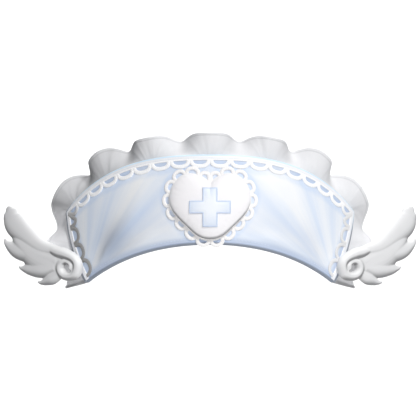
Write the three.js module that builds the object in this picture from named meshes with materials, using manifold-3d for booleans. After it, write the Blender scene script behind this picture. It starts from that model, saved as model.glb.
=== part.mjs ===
// A winged nurse cap. A stiff satin band curves round the front of the head, edged with
// piping and scalloped lace. A gathered ruffle stands behind its sides and crown, a padded
// heart with a cross sits at the front, and a moulded wing is sewn on at each foot.
//
// Millimetres, +Z up, the front faces -Y, +X is to the viewer's right. The origin is on the
// inside of the band, at the middle of its lower rim, where it sits on the head.
//
// The band is drawn as a flat pattern, (along, height), which wrap() bends round the head.
// An edge is a Rail in that pattern, and what is sewn to it is placed by its length along
// the rail, its distance in from the edge, and its distance out from the middle of the cloth.

import * as THREE from 'three';
import { mergeVertices } from 'three/addons/utils/BufferGeometryUtils.js';
import Module from 'manifold-3d';

const wasm = await Module();
wasm.setup();

const clearance = 0.3; // between neighbours

// Outline of the band from the front, to the outside of its piping
const rimHalfWidth = 92; // centre line to the shoulders, the widest points
const rimRise = 35.5; // shoulders up to the crown
const rimPower = 2.55; // how late the crown turns down to the shoulders
const shoulderHeight = 20.6; // shoulders above the front of the lower rim
const footHalfWidth = 78; // centre line to the feet
const footDrop = 25.4; // feet below the front of the lower rim
const lowerRimPower = 2.1; // how late the lower rim turns down
const sidePower = 1.75; // how late the side edges turn in to the feet

// How the band stands
const bandRadius = 122; // of its curve round the head
const leanBack = 8; // degrees
const bandThickness = 2.4;
const cornerEase = 8; // length over which trim turns round the shoulders

// Drag folds of the satin, which fan out from each foot. An angle is degrees above the
// way from the foot to the centre line, a height is a share of foldHeight.
const foldHeight = 1.0;
const foldFans = [
  { angle: 12, height: 0.8, spread: 5 },
  { angle: 30, height: 1.0, spread: 6 },
  { angle: 50, height: 0.8, spread: 7 },
];

const pipingDiameter = 2.2;
const hemDiameter = 2.8;

// Lace trim along the sides and the crown, measured in from the outside of the piping
const laceThickness = 0.9;
const laceHeaderStart = 1.9;
const laceHeaderWidth = 1.9;
const laceCuspDepth = 5.9;
const laceCrestDepth = 8.3;
const laceEyeDepth = 2.6;
const crownLoops = 18;
const sideLoops = 4;
const sideLaceMargin = 2.6; // last loop to the foot

// Where the columns of one loop stand, as shares of its pitch, of the scallop's depth and
// of the eye's depth
const laceLoop = [
  { across: 0, scallop: 0, eye: 0 },
  { across: 0.19, scallop: 0.78, eye: 0 },
  { across: 0.33, scallop: 0.94, eye: 0.84 },
  { across: 0.5, scallop: 1, eye: 1 },
  { across: 0.67, scallop: 0.94, eye: 0.84 },
  { across: 0.81, scallop: 0.78, eye: 0 },
];

// Ruffle
const ruffleThickness = 1.2;
const ruffleWidth = 14; // past the edge of the band
const ruffleTuck = 4.6; // sewn down behind the band
const ruffleHollowWidth = 18;
const ruffleFan = 0.5; // how far a flute's free edge spreads each way
const ruffleTailLift = 8; // the free edge's ends, back up the sides
// Degrees back in the hollows, by the share of the way from the crown to a foot
const ruffleHollows = [
  { share: 0.12, lean: 46 },
  { share: 0.345, lean: 46 },
  { share: 0.56, lean: 38 },
  { share: 0.765, lean: -12 },
  { share: 0.93, lean: -10 },
];
// Degrees back on the crests of the flutes
const ruffleFlutes = [
  { share: 0, lean: -8 },
  { share: 0.5, lean: -14 },
  { share: 0.78, lean: -34 },
  { share: 0.86, lean: -40 },
  { share: 0.93, lean: -14 },
  { share: 1, lean: -14 },
];

// Padded heart, its outline as shares of its half width and of its rise
const heartHalfWidth = 24.6;
const heartRise = 20.5; // centre to the top of the lobes, and to the point
const heartHeight = 23.2; // its centre above the front of the lower rim
const heartThickness = 7.5;
const heartEdge = 2.2; // upright part of its side
const heartStart = { across: 0, up: 0.71 };
const heartCurves = [
  { across1: 0.12, up1: 0.89, across2: 0.29, up2: 1, across: 0.49, up: 1 },
  { across1: 0.78, up1: 1, across2: 1, up2: 0.6, across: 1, up: 0.24 },
  { across1: 1, up1: -0.15, across2: 0.8, up2: -0.33, across: 0.41, up: -0.8 },
  { across1: 0.24, up1: -0.98, across2: 0.12, up2: -1, across: 0, up: -1 },
];

// Lace round the heart, measured out from the heart's edge
const heartLoops = 18;
const heartLaceTuck = 1.8; // under the heart
const heartLaceHeader = 2.4;
const heartLaceCusp = 2.5;
const heartLaceCrest = 4.4;
const heartLaceEye = 1.9;

// Cross
const crossWidth = 23.8;
const crossHeight = 24.2;
const crossUprightWidth = 8.6;
const crossBarWidth = 7.8;
const crossDrop = 1.2; // its middle below the heart's centre
const crossThickness = 0.8;

// Wings. Feather sections are in the plane of the wing, from the middle of the curl, with
// out as shares of the wing's span, up and width as shares of its height, and thick as
// shares of the feather's thickness.
const wingSpan = 52.6;
const wingHeight = 39.4;
const wingSweep = 30; // degrees back from the frontal plane
const wingOffset = 89.5; // centre line to the middle of the curl
const wingLevel = -15.4; // middle of the curl above the front of the lower rim
const wingStandOff = 1.6; // between the back of the curl and the lace
const featherThickness = 6.4;
const feathers = [
  [
    { out: 0.127, up: 0.25, width: 0.16, thick: 0.9 },
    { out: 0.39, up: 0.315, width: 0.27, thick: 1.0 },
    { out: 0.606, up: 0.476, width: 0.34, thick: 1.0 },
    { out: 0.8, up: 0.67, width: 0.36, thick: 0.85 },
    { out: 0.883, up: 0.84, width: 0.24, thick: 0.6 },
    { out: 0.893, up: 0.95, width: 0.12, thick: 0.35 },
    { out: 0.886, up: 0.985, width: 0.04, thick: 0.15 },
  ],
  [
    { out: 0.157, up: 0.09, width: 0.22, thick: 0.9 },
    { out: 0.367, up: 0.175, width: 0.32, thick: 1.0 },
    { out: 0.577, up: 0.215, width: 0.33, thick: 0.95 },
    { out: 0.776, up: 0.272, width: 0.28, thick: 0.8 },
    { out: 0.906, up: 0.363, width: 0.13, thick: 0.5 },
    { out: 0.954, up: 0.452, width: 0.04, thick: 0.15 },
  ],
  [
    { out: 0.187, up: 0.0, width: 0.2, thick: 0.9 },
    { out: 0.39, up: -0.035, width: 0.3, thick: 0.95 },
    { out: 0.575, up: -0.04, width: 0.21, thick: 0.7 },
    { out: 0.689, up: -0.03, width: 0.08, thick: 0.4 },
    { out: 0.737, up: 0.003, width: 0.03, thick: 0.15 },
  ],
  [
    { out: 0.127, up: -0.1, width: 0.18, thick: 0.8 },
    { out: 0.24, up: -0.175, width: 0.23, thick: 0.85 },
    { out: 0.357, up: -0.223, width: 0.14, thick: 0.6 },
    { out: 0.43, up: -0.226, width: 0.07, thick: 0.35 },
    { out: 0.467, up: -0.206, width: 0.03, thick: 0.15 },
  ],
];

// The curl, seen round from the front. Turns count from its top, inwards and down, and its
// sections are shares of its radius and of its tube's.
const curlRadius = 6.4;
const curlTube = 3.0;
const curl = [
  { turn: -0.075, reach: 1.84, tube: 1.0 },
  { turn: 0.02, reach: 1.26, tube: 0.98 },
  { turn: 0.128, reach: 1.04, tube: 0.95 },
  { turn: 0.253, reach: 1.0, tube: 0.92 },
  { turn: 0.367, reach: 1.0, tube: 0.9 },
  { turn: 0.475, reach: 0.97, tube: 0.87 },
  { turn: 0.592, reach: 0.94, tube: 0.83 },
  { turn: 0.703, reach: 0.87, tube: 0.78 },
  { turn: 0.803, reach: 0.76, tube: 0.74 },
  { turn: 0.909, reach: 0.58, tube: 0.7 },
  { turn: 1.04, reach: 0.33, tube: 0.66 },
  { turn: 1.3, reach: 0.14, tube: 0.55 },
];

// Fineness of the facets
const bandColumns = 44;
const bandRows = 8;
const ruffleStep = 3.6;
const heartSides = 32;
const roundSides = 6;
const featherSides = 8;

const radians = Math.PI / 180;

// Solids from their skins

function volumeOf(positions, triangles) {
  const [a, b, c] = [new THREE.Vector3(), new THREE.Vector3(), new THREE.Vector3()];
  let sum = 0;
  for (let i = 0; i < triangles.length; i += 3) {
    a.copy(positions[triangles[i]]);
    b.copy(positions[triangles[i + 1]]);
    c.copy(positions[triangles[i + 2]]);
    sum += a.dot(b.cross(c)) / 6;
  }
  return sum;
}

// A closed skin as a geometry, turned so that its faces point out
function closedSkin(positions, triangles) {
  const outward = volumeOf(positions, triangles) > 0;
  const index = outward ? triangles : triangles.slice().reverse();
  const geometry = new THREE.BufferGeometry().setFromPoints(positions);
  geometry.setIndex(index);
  geometry.computeVertexNormals();
  return geometry;
}

// A sheet with a front and a back. Each face lists the points of one cell, all the same
// way round, and every edge that only one cell has gets a wall.
function sheet(front, back, faces) {
  const count = front.length;
  const triangles = [];
  const edges = new Set();
  for (const face of faces) {
    for (let i = 1; i + 1 < face.length; i++) {
      triangles.push(face[0], face[i], face[i + 1]);
      triangles.push(count + face[0], count + face[i + 1], count + face[i]);
    }
    face.forEach((from, i) => edges.add(`${from},${face[(i + 1) % face.length]}`));
  }
  for (const edge of edges) {
    const [from, to] = edge.split(',').map(Number);
    if (!edges.has(`${to},${from}`)) {
      triangles.push(from, count + from, count + to);
      triangles.push(from, count + to, to);
    }
  }
  return closedSkin([...front, ...back], triangles);
}

// Cells of a grid of points, numbered row by row
function gridFaces(columns, rows) {
  const faces = [];
  for (let row = 0; row < rows; row++) {
    for (let column = 0; column < columns; column++) {
      const corner = row * (columns + 1) + column;
      faces.push([corner, corner + 1, corner + columns + 2, corner + columns + 1]);
    }
  }
  return faces;
}

// A skin over rings of points, closed at both ends
function loft(rings) {
  const sides = rings[0].length;
  const positions = rings.flat();
  const triangles = [];
  for (let ring = 0; ring + 1 < rings.length; ring++) {
    for (let side = 0; side < sides; side++) {
      const next = (side + 1) % sides;
      const [a, b] = [ring * sides + side, ring * sides + next];
      triangles.push(a, b, b + sides, a, b + sides, a + sides);
    }
  }
  const last = (rings.length - 1) * sides;
  for (let side = 1; side + 1 < sides; side++) {
    triangles.push(0, side + 1, side);
    triangles.push(last, last + side, last + side + 1);
  }
  return closedSkin(positions, triangles);
}

function toManifold(geometry) {
  const bare = geometry.clone();
  bare.deleteAttribute('normal');
  const merged = mergeVertices(bare, 1e-4);
  return new wasm.Manifold(new wasm.Mesh({
    numProp: 3,
    vertProperties: new Float32Array(merged.attributes.position.array),
    triVerts: new Uint32Array(merged.index.array),
  }));
}

function fused(geometries) {
  const whole = geometries.map(toManifold).reduce((sum, next) => sum.add(next));
  const mesh = whole.getMesh();
  const geometry = new THREE.BufferGeometry();
  geometry.setAttribute('position', new THREE.BufferAttribute(mesh.vertProperties, 3));
  geometry.setIndex(new THREE.BufferAttribute(mesh.triVerts, 1));
  geometry.computeVertexNormals();
  return geometry;
}

// The pattern, and how it is worn

const crownHeight = shoulderHeight + rimRise;
const shoulderAlong = bandRadius * Math.asin(rimHalfWidth / bandRadius);
const footAlong = bandRadius * Math.asin(footHalfWidth / bandRadius);

function wrap(along, height, out) {
  const angle = along / bandRadius;
  const rise = Math.tan(leanBack * radians);
  const depth = bandRadius * (1 - Math.cos(angle)) + height * rise - bandThickness / 2;
  const normal = new THREE.Vector3(Math.sin(angle), -Math.cos(angle), Math.cos(angle) * rise);
  const place = new THREE.Vector3(bandRadius * Math.sin(angle), depth, height);
  return place.addScaledVector(normal.normalize(), out);
}

class Rail {
  // points run from left to right, and inside is to their right
  constructor(points) {
    this.points = points;
    this.lengths = [0];
    for (let i = 1; i < points.length; i++) {
      this.lengths.push(this.lengths[i - 1] + points[i].distanceTo(points[i - 1]));
    }
    this.reach = this.lengths[points.length - 1] / 2;
  }

  // length counts from the middle of the rail, and goes on straight past its ends
  point(length) {
    const target = length + this.reach;
    let i = this.lengths.findIndex((reached) => reached > target);
    if (i < 1) {
      i = i === 0 ? 1 : this.points.length - 1;
    }
    const [from, to] = [this.lengths[i - 1], this.lengths[i]];
    return this.points[i - 1].clone().lerp(this.points[i], (target - from) / (to - from));
  }

  pattern(length, inward) {
    const ahead = this.point(length + cornerEase).sub(this.point(length - cornerEase));
    const inside = new THREE.Vector2(ahead.y, -ahead.x).normalize();
    return this.point(length).addScaledVector(inside, inward);
  }

  place(length, inward, out) {
    const spot = this.pattern(length, inward);
    return wrap(spot.x, spot.y, out);
  }
}

function crownPoint(share) {
  const drop = rimRise * Math.abs(share) ** rimPower;
  return new THREE.Vector2(share * shoulderAlong, crownHeight - drop);
}

function hemPoint(share) {
  return new THREE.Vector2(share * footAlong, -footDrop * Math.abs(share) ** lowerRimPower);
}

// share counts from the shoulder down to the foot
function sidePoint(share, side) {
  const along = THREE.MathUtils.lerp(shoulderAlong, footAlong, share ** sidePower);
  return new THREE.Vector2(side * along, THREE.MathUtils.lerp(shoulderHeight, -footDrop, share));
}

function shares(count, from, to) {
  return Array.from({ length: count + 1 }, (_, i) => THREE.MathUtils.lerp(from, to, i / count));
}

const railSteps = 120;
const edge = new Rail([
  ...shares(railSteps, 1, 0).slice(0, -1).map((share) => sidePoint(share, -1)),
  ...shares(railSteps * 2, -1, 1).map(crownPoint),
  ...shares(railSteps, 0, 1).slice(1).map((share) => sidePoint(share, 1)),
]);
const hem = new Rail(shares(railSteps, 1, -1).map(hemPoint));
const crownReach = new Rail(shares(railSteps * 2, -1, 1).map(crownPoint)).reach;
const sideReach = edge.reach - crownReach;

// Band

// Height of the drag folds at a spot of the pattern, none under the trim and the heart
function foldAt(spot, u, v) {
  const inward = footAlong - Math.abs(spot.x);
  const angle = Math.atan2(spot.y + footDrop, inward) / radians;
  const trimShare = (laceCrestDepth + bandThickness) / (crownHeight + footDrop);
  const heartReach = heartHalfWidth + heartLaceCrest + bandThickness;
  const beyondHeart = spot.distanceTo(new THREE.Vector2(0, heartHeight)) - heartReach;
  const mask = THREE.MathUtils.smoothstep(beyondHeart, 0, heartRise)
    * THREE.MathUtils.smoothstep(1 - trimShare - v, 0, trimShare)
    * THREE.MathUtils.smoothstep(v, 0, trimShare)
    * THREE.MathUtils.smoothstep(1 - trimShare - Math.abs(u), 0, trimShare);
  let fold = 0;
  for (const fan of foldFans) {
    fold += fan.height * Math.exp(-(((angle - fan.angle) / fan.spread) ** 2));
  }
  return foldHeight * mask * fold;
}

// A spot of the band's cloth, inside its piping and its hem
function bandSpot(u, v) {
  const edgeInset = pipingDiameter + clearance;
  const hemInset = hemDiameter + clearance;
  const side = Math.sign(u);
  const top = edge.pattern(u * crownReach, edgeInset);
  const bottom = hem.pattern(-u * (hem.reach - edgeInset), hemInset);
  const spot = bottom.clone().lerp(top, v);
  if (side !== 0) {
    const topEnd = edge.pattern(side * crownReach, edgeInset);
    const bottomEnd = hem.pattern(-side * (hem.reach - edgeInset), hemInset);
    const straight = bottomEnd.lerp(topEnd, v);
    const down = (1 - v) * (sideReach - hemInset);
    const curved = edge.pattern(side * (crownReach + down), edgeInset);
    spot.addScaledVector(curved.sub(straight), Math.abs(u) ** 3);
  }
  return spot;
}

function bandGeometry() {
  const front = [];
  const back = [];
  for (const v of shares(bandRows, 0, 1)) {
    for (const u of shares(bandColumns, -1, 1)) {
      const spot = bandSpot(u, v);
      const fold = foldAt(spot, u, v);
      front.push(wrap(spot.x, spot.y, fold + bandThickness / 2));
      back.push(wrap(spot.x, spot.y, fold - bandThickness / 2));
    }
  }
  return sheet(front, back, gridFaces(bandColumns, bandRows));
}

// A roll through some lengths of a rail, its outside on the rail
function rollGeometry(rail, lengths, diameter) {
  const radius = diameter / 2;
  const rings = lengths.map((length) => (
    shares(roundSides, 0, 2 * Math.PI).slice(0, -1).map((angle) => (
      rail.place(length, radius - radius * Math.cos(angle), radius * Math.sin(angle))
    ))
  ));
  return loft(rings);
}

// The piping and the hem bend where the band's cells meet
function pipingLengths() {
  const side = shares(bandRows, edge.reach, crownReach);
  return [
    ...side.map((length) => -length),
    ...shares(bandColumns, -crownReach, crownReach).slice(1, -1),
    ...side.reverse(),
  ];
}

function hemLengths() {
  const reach = hem.reach - pipingDiameter - clearance;
  return shares(bandColumns, -reach, reach);
}

// Lace

// A pierced strip of loops. place(loops along, depth, front) gives a spot of it.
function laceGeometry(loops, closed, sizes, place) {
  const levels = []; // of each column: header, top of the eye, bottom of the eye, scallop
  const front = [];
  const back = [];
  const point = (position, depth) => {
    front.push(place(position, depth, true));
    back.push(place(position, depth, false));
    return front.length - 1;
  };
  const columns = loops * laceLoop.length + (closed ? 0 : 1);
  for (let i = 0; i < columns; i++) {
    const { across, scallop, eye } = laceLoop[i % laceLoop.length];
    const position = Math.floor(i / laceLoop.length) + across;
    const eyeTop = sizes.start + sizes.header;
    const start = point(position, sizes.start);
    const top = point(position, eyeTop);
    const bottom = eye > 0 ? point(position, eyeTop + eye * sizes.eye) : top;
    const rim = point(position, sizes.cusp + scallop * (sizes.crest - sizes.cusp));
    levels.push([start, top, bottom, rim]);
  }
  const faces = [];
  for (let i = 0; i + (closed ? 0 : 1) < columns; i++) {
    const [start, top, bottom, rim] = levels[i];
    const [nextStart, nextTop, nextBottom, nextRim] = levels[(i + 1) % columns];
    faces.push([start, top, nextTop, nextStart]);
    faces.push([bottom, rim, nextRim, nextBottom]);
  }
  return sheet(front, back, faces);
}

const laceBack = bandThickness / 2 + clearance;
const laceFront = laceBack + laceThickness;

function laceTrimGeometry() {
  const sidePosts = (sideReach - sideLaceMargin) / sideLoops;
  const crownPosts = 2 * crownReach / crownLoops;
  const loops = crownLoops + 2 * sideLoops;
  const lengthAt = (position) => {
    const fromMiddle = position - loops / 2;
    const crown = THREE.MathUtils.clamp(fromMiddle, -crownLoops / 2, crownLoops / 2);
    return crown * crownPosts + (fromMiddle - crown) * sidePosts;
  };
  const sizes = {
    start: laceHeaderStart,
    header: laceHeaderWidth,
    eye: laceEyeDepth,
    cusp: laceCuspDepth,
    crest: laceCrestDepth,
  };
  return laceGeometry(loops, false, sizes, (position, depth, isFront) => (
    edge.place(lengthAt(position), depth, isFront ? laceFront : laceBack)
  ));
}

// Ruffle

// Degrees back at a share of the way from the crown to a foot
function ruffleLeanAt(share) {
  const last = ruffleFlutes.length - 1;
  const next = ruffleFlutes.findIndex((row, i) => i > 0 && (row.share >= share || i === last));
  const [from, to] = [ruffleFlutes[next - 1], ruffleFlutes[next]];
  const part = THREE.MathUtils.smoothstep(share, from.share, to.share);
  const flute = THREE.MathUtils.lerp(from.lean, to.lean, part);
  const width = ruffleHollowWidth / 2 / edge.reach;
  return ruffleHollows.reduce(
    (lean, hollow) => lean + (hollow.lean - flute) * Math.exp(-(((share - hollow.share) / width) ** 2)),
    flute,
  );
}

// How far the free edge of a flute is spread sideways
function spreadAt(length) {
  const share = Math.abs(length) / edge.reach;
  const hollows = ruffleHollows.map((hollow) => hollow.share);
  const ends = [-hollows[0], ...hollows, 1];
  const next = Math.max(1, ends.findIndex((end) => end > share));
  const phase = (share - ends[next - 1]) / (ends[next] - ends[next - 1]) - 0.5;
  const tail = THREE.MathUtils.smoothstep(share, ends[ends.length - 2], 1);
  const fan = (1 - tail) * ruffleFan * Math.sin(2 * Math.PI * phase);
  return Math.sign(length) * (fan - tail * ruffleTailLift);
}

function ruffleGeometry() {
  const middle = -(bandThickness / 2 + clearance + ruffleThickness / 2);
  const columns = Math.round(2 * edge.reach / ruffleStep);
  const rows = [-ruffleTuck, 0, 0.3 * ruffleWidth, 0.65 * ruffleWidth, ruffleWidth];
  const front = [];
  const back = [];
  for (const reach of rows) {
    const share = Math.max(0, reach / ruffleWidth);
    for (const length of shares(columns, -edge.reach, edge.reach)) {
      const lean = ruffleLeanAt(Math.abs(length) / edge.reach) * radians;
      const beyond = Math.max(0, reach);
      const inward = reach > 0 ? -beyond * Math.cos(lean) : -reach;
      const out = middle - beyond * Math.sin(lean);
      const spread = length + share * spreadAt(length);
      const half = ruffleThickness / 2;
      const tilt = reach > 0 ? lean : 0;
      front.push(edge.place(spread, inward - half * Math.sin(tilt), out + half * Math.cos(tilt)));
      back.push(edge.place(spread, inward + half * Math.sin(tilt), out - half * Math.cos(tilt)));
    }
  }
  return sheet(front, back, gridFaces(columns, rows.length - 1));
}

// Heart

function heartCurve() {
  const shape = new THREE.Shape();
  const x = (share) => share * heartHalfWidth;
  const y = (share) => share * heartRise;
  shape.moveTo(x(heartStart.across), y(heartStart.up));
  for (const c of heartCurves) {
    shape.bezierCurveTo(x(c.across1), y(c.up1), x(c.across2), y(c.up2), x(c.across), y(c.up));
  }
  for (let i = heartCurves.length - 1; i >= 0; i--) {
    const c = heartCurves[i];
    const end = i > 0 ? heartCurves[i - 1] : heartStart;
    shape.bezierCurveTo(
      x(-c.across2), y(c.up2), x(-c.across1), y(c.up1), x(-end.across), y(end.up),
    );
  }
  return shape;
}

const heartOutline = heartCurve();
const heartLength = heartOutline.getLength();
const heartBack = laceFront + clearance;

// Half the width of the heart along a ray from its centre
const heartRays = heartOutline.getSpacedPoints(360).map((point) => (
  { angle: Math.atan2(point.y, point.x), reach: point.length() }
));

function heartReachAt(angle) {
  const away = (ray) => Math.abs(Math.atan2(Math.sin(ray.angle - angle), Math.cos(ray.angle - angle)));
  return heartRays.reduce((best, ray) => (away(ray) < away(best) ? ray : best)).reach;
}

// Height of the padding, from 1 at the centre to 0 at the edge
function heartDome(share) {
  return (1 - share ** 2.4) ** 0.62;
}

function heartGeometry() {
  const outline = heartOutline.getSpacedPoints(heartSides).slice(0, -1);
  const rings = [1, 0.96, 0.86, 0.68, 0.42];
  const front = [];
  const back = [];
  for (const share of rings) {
    for (const point of outline) {
      const spot = point.clone().multiplyScalar(share);
      const rise = heartEdge + (heartThickness - heartEdge) * heartDome(share);
      front.push(wrap(spot.x, heartHeight + spot.y, heartBack + rise));
      back.push(wrap(spot.x, heartHeight + spot.y, heartBack));
    }
  }
  front.push(wrap(0, heartHeight, heartBack + heartThickness));
  back.push(wrap(0, heartHeight, heartBack));
  const centre = front.length - 1;
  const faces = [];
  const last = (rings.length - 1) * heartSides;
  for (let side = 0; side < heartSides; side++) {
    const next = (side + 1) % heartSides;
    for (let ring = 0; ring < last; ring += heartSides) {
      const [inner, nextInner] = [ring + heartSides + side, ring + heartSides + next];
      faces.push([ring + side, ring + next, nextInner, inner]);
    }
    faces.push([last + side, last + next, centre]);
  }
  return sheet(front, back, faces);
}

function heartLaceGeometry() {
  const spotAt = (length) => {
    const share = THREE.MathUtils.euclideanModulo(length / heartLength, 1);
    return heartOutline.getPointAt(share);
  };
  const ease = heartLaceCrest * 1.1;
  const sizes = {
    start: -heartLaceTuck,
    header: heartLaceTuck + heartLaceHeader - heartLaceEye,
    eye: heartLaceEye,
    cusp: heartLaceCusp,
    crest: heartLaceCrest,
  };
  return laceGeometry(heartLoops, true, sizes, (position, depth, isFront) => {
    const length = position * heartLength / heartLoops;
    const ahead = spotAt(length + ease).sub(spotAt(length - ease));
    const outside = new THREE.Vector2(-ahead.y, ahead.x).normalize();
    const spot = spotAt(length).addScaledVector(outside, depth);
    return wrap(spot.x, heartHeight + spot.y, isFront ? laceFront : laceBack);
  });
}

// Cross

function crossGeometry() {
  const steps = (half, arm) => {
    const rest = [arm / 2, arm, (half + arm) / 2, half];
    return [...rest.map((step) => -step).reverse(), 0, ...rest];
  };
  const acrossSteps = steps(crossWidth / 2, crossUprightWidth / 2);
  const upSteps = steps(crossHeight / 2, crossBarWidth / 2);
  const front = [];
  const back = [];
  for (const up of upSteps) {
    for (const across of acrossSteps) {
      const level = up - crossDrop;
      const share = Math.hypot(across, level) / heartReachAt(Math.atan2(level, across));
      const rise = heartEdge + (heartThickness - heartEdge) * heartDome(share);
      const under = heartBack + rise + clearance;
      front.push(wrap(across, heartHeight + level, under + crossThickness));
      back.push(wrap(across, heartHeight + level, under));
    }
  }
  const cells = acrossSteps.length - 1;
  const faces = gridFaces(cells, cells).filter((face, i) => {
    const inUpright = Math.abs((i % cells) + 0.5 - cells / 2) < cells / 4;
    const inBar = Math.abs(Math.floor(i / cells) + 0.5 - cells / 2) < cells / 4;
    return inUpright || inBar;
  });
  const used = [...new Set(faces.flat())];
  const renumbered = faces.map((face) => face.map((corner) => used.indexOf(corner)));
  return sheet(used.map((i) => front[i]), used.map((i) => back[i]), renumbered);
}

// Wings, drawn for the right side with the plane of the wing across x and z

// A round-edged solid along stations of x, z, width and thickness
function rib(stations) {
  const rings = stations.map((station, i) => {
    const before = stations[Math.max(0, i - 1)];
    const after = stations[Math.min(stations.length - 1, i + 1)];
    const ahead = new THREE.Vector2(after.x - before.x, after.z - before.z).normalize();
    return shares(featherSides, 0, 2 * Math.PI).slice(0, -1).map((angle) => {
      const sideways = Math.cos(angle) * station.width / 2;
      const forward = Math.sin(angle) * station.thick / 2;
      return new THREE.Vector3(
        station.x - ahead.y * sideways, -forward, station.z + ahead.x * sideways,
      );
    });
  });
  return loft(rings);
}

function featherGeometry(sections) {
  return rib(sections.map((section) => ({
    x: section.out * wingSpan,
    z: section.up * wingHeight,
    width: section.width * wingHeight,
    thick: section.thick * featherThickness,
  })));
}

// The curl in short pieces, since its turns run into each other
function curlGeometries() {
  const stations = [];
  for (let i = 0; i + 1 < curl.length; i++) {
    for (const part of [0, 0.5]) {
      const turn = THREE.MathUtils.lerp(curl[i].turn, curl[i + 1].turn, part) * 2 * Math.PI;
      const reach = THREE.MathUtils.lerp(curl[i].reach, curl[i + 1].reach, part) * curlRadius;
      const tube = THREE.MathUtils.lerp(curl[i].tube, curl[i + 1].tube, part);
      stations.push({
        x: -Math.sin(turn) * reach / Math.cos(wingSweep * radians),
        z: Math.cos(turn) * reach,
        width: 2 * tube * curlTube,
        thick: tube * featherThickness,
      });
    }
  }
  const run = 5;
  const pieces = [];
  for (let i = 0; i + 1 < stations.length; i += run) {
    pieces.push(rib(stations.slice(i, i + run + 1)));
  }
  return pieces;
}

function wingGeometry() {
  return fused([...feathers.map(featherGeometry), ...curlGeometries()]);
}

function mirrored(geometry) {
  const other = geometry.clone();
  other.applyMatrix4(new THREE.Matrix4().makeScale(-1, 1, 1));
  other.index.array.reverse();
  other.computeVertexNormals();
  return other;
}

// The parts put together

const satin = { color: 0xdbe6f5, roughness: 0.4, metalness: 0 };
const paleSatin = { color: 0xe9f3fc, roughness: 0.35, metalness: 0 };
const slateSatin = { color: 0x7f8ea6, roughness: 0.5, metalness: 0 };
const frillCloth = { color: 0xf0f0f2, roughness: 0.85, metalness: 0 };
const whiteLace = { color: 0xfbfbfb, roughness: 0.9, metalness: 0 };
const creamLace = { color: 0xf6f3ee, roughness: 0.9, metalness: 0 };
const heartCloth = { color: 0xfaf8fa, roughness: 0.7, metalness: 0 };
const crossCloth = { color: 0xd4e2f6, roughness: 0.5, metalness: 0 };
const wingFoam = { color: 0xf6f6f6, roughness: 0.55, metalness: 0 };

const group = new THREE.Group();

function add(name, geometry, finish) {
  const mesh = new THREE.Mesh(geometry, new THREE.MeshStandardMaterial(finish));
  mesh.name = name;
  group.add(mesh);
  return mesh;
}

add('band', bandGeometry(), satin);
add('rim_piping', rollGeometry(edge, pipingLengths(), pipingDiameter), paleSatin);
add('bottom_hem', rollGeometry(hem, hemLengths(), hemDiameter), slateSatin);
add('lace_trim', laceTrimGeometry(), whiteLace);
add('ruffle', ruffleGeometry(), frillCloth);
add('heart_lace', heartLaceGeometry(), creamLace);
add('heart_badge', heartGeometry(), heartCloth);
add('heart_cross', crossGeometry(), crossCloth);

const wingRight = wingGeometry();
for (const side of [1, -1]) {
  const name = side > 0 ? 'wing_right' : 'wing_left';
  const wing = add(name, side > 0 ? wingRight : mirrored(wingRight), wingFoam);
  const out = laceFront + wingStandOff + featherThickness / 2;
  const along = side * bandRadius * Math.asin(wingOffset / (bandRadius + out));
  wing.position.copy(wrap(along, wingLevel, out));
  wing.rotation.z = side * wingSweep * radians;
}

export default group;
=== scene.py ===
"""A winged nurse cap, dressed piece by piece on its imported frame."""

import math

import bmesh
import bpy
import numpy as np
from bpy.props import (
    FloatProperty,
    FloatVectorProperty,
    IntProperty,
    PointerProperty,
)
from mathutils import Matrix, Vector


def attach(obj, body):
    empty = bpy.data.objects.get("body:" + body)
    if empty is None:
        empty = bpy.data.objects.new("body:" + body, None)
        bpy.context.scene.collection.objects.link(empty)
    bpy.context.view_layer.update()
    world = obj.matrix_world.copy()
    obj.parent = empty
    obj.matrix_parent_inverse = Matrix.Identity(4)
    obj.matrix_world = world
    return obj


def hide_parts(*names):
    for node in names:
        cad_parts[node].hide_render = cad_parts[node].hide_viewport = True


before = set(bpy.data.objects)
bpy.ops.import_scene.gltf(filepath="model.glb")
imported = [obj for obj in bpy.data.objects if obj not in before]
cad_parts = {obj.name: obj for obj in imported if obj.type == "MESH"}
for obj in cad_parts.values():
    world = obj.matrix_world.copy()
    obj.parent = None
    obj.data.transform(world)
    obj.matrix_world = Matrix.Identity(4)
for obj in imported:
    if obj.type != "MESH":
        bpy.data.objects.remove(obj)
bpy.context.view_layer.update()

bl_info = {
    "name": "Winged Nurse Cap",
    "version": (1, 0, 0),
    "blender": (4, 5, 0),
    "location": "View3D > Sidebar > Cap",
    "description": "Makes a satin nurse cap with a frill, a padded heart and two wings",
    "category": "Add Mesh",
}

MM = 0.001

# The band's pattern, (along, height), and how it bends round the head
RIM_HALF_WIDTH = 92 * MM
RIM_RISE = 35.5 * MM
RIM_POWER = 2.55
SHOULDER_HEIGHT = 20.6 * MM
FOOT_HALF_WIDTH = 78 * MM
FOOT_DROP = 25.4 * MM
LOWER_RIM_POWER = 2.1
SIDE_POWER = 1.75
BAND_RADIUS = 122 * MM
LEAN_BACK = math.radians(8)
BAND_THICKNESS = 2.4 * MM
CORNER_EASE = 8 * MM
CLEARANCE = 0.3 * MM
PIPING_DIAMETER = 2.2 * MM
PIPING_WIDTH = 4.1 * MM
PIPING_THICKNESS = 2.8 * MM
HEM_DIAMETER = 2.8 * MM

# Lace, in from the outside of the piping
LACE_THICKNESS = 0.9 * MM
LACE_HEADER_START = 2.8 * MM
LACE_HEADER_WIDTH = 1.1 * MM
LACE_CREST = 8.8 * MM
CROWN_LOOPS = 18
SIDE_LOOPS = 4
SIDE_LACE_MARGIN = 2.6 * MM
SIDE_TRIM = 1.36
LACE_BACK = BAND_THICKNESS / 2 + CLEARANCE
LACE_FRONT = LACE_BACK + LACE_THICKNESS
TRIM_LIFT = 0.4 * MM
PIPING_END = 1.2 * MM
TAPE_SHARE = 0.7
STRAND_STEPS = 420

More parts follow.
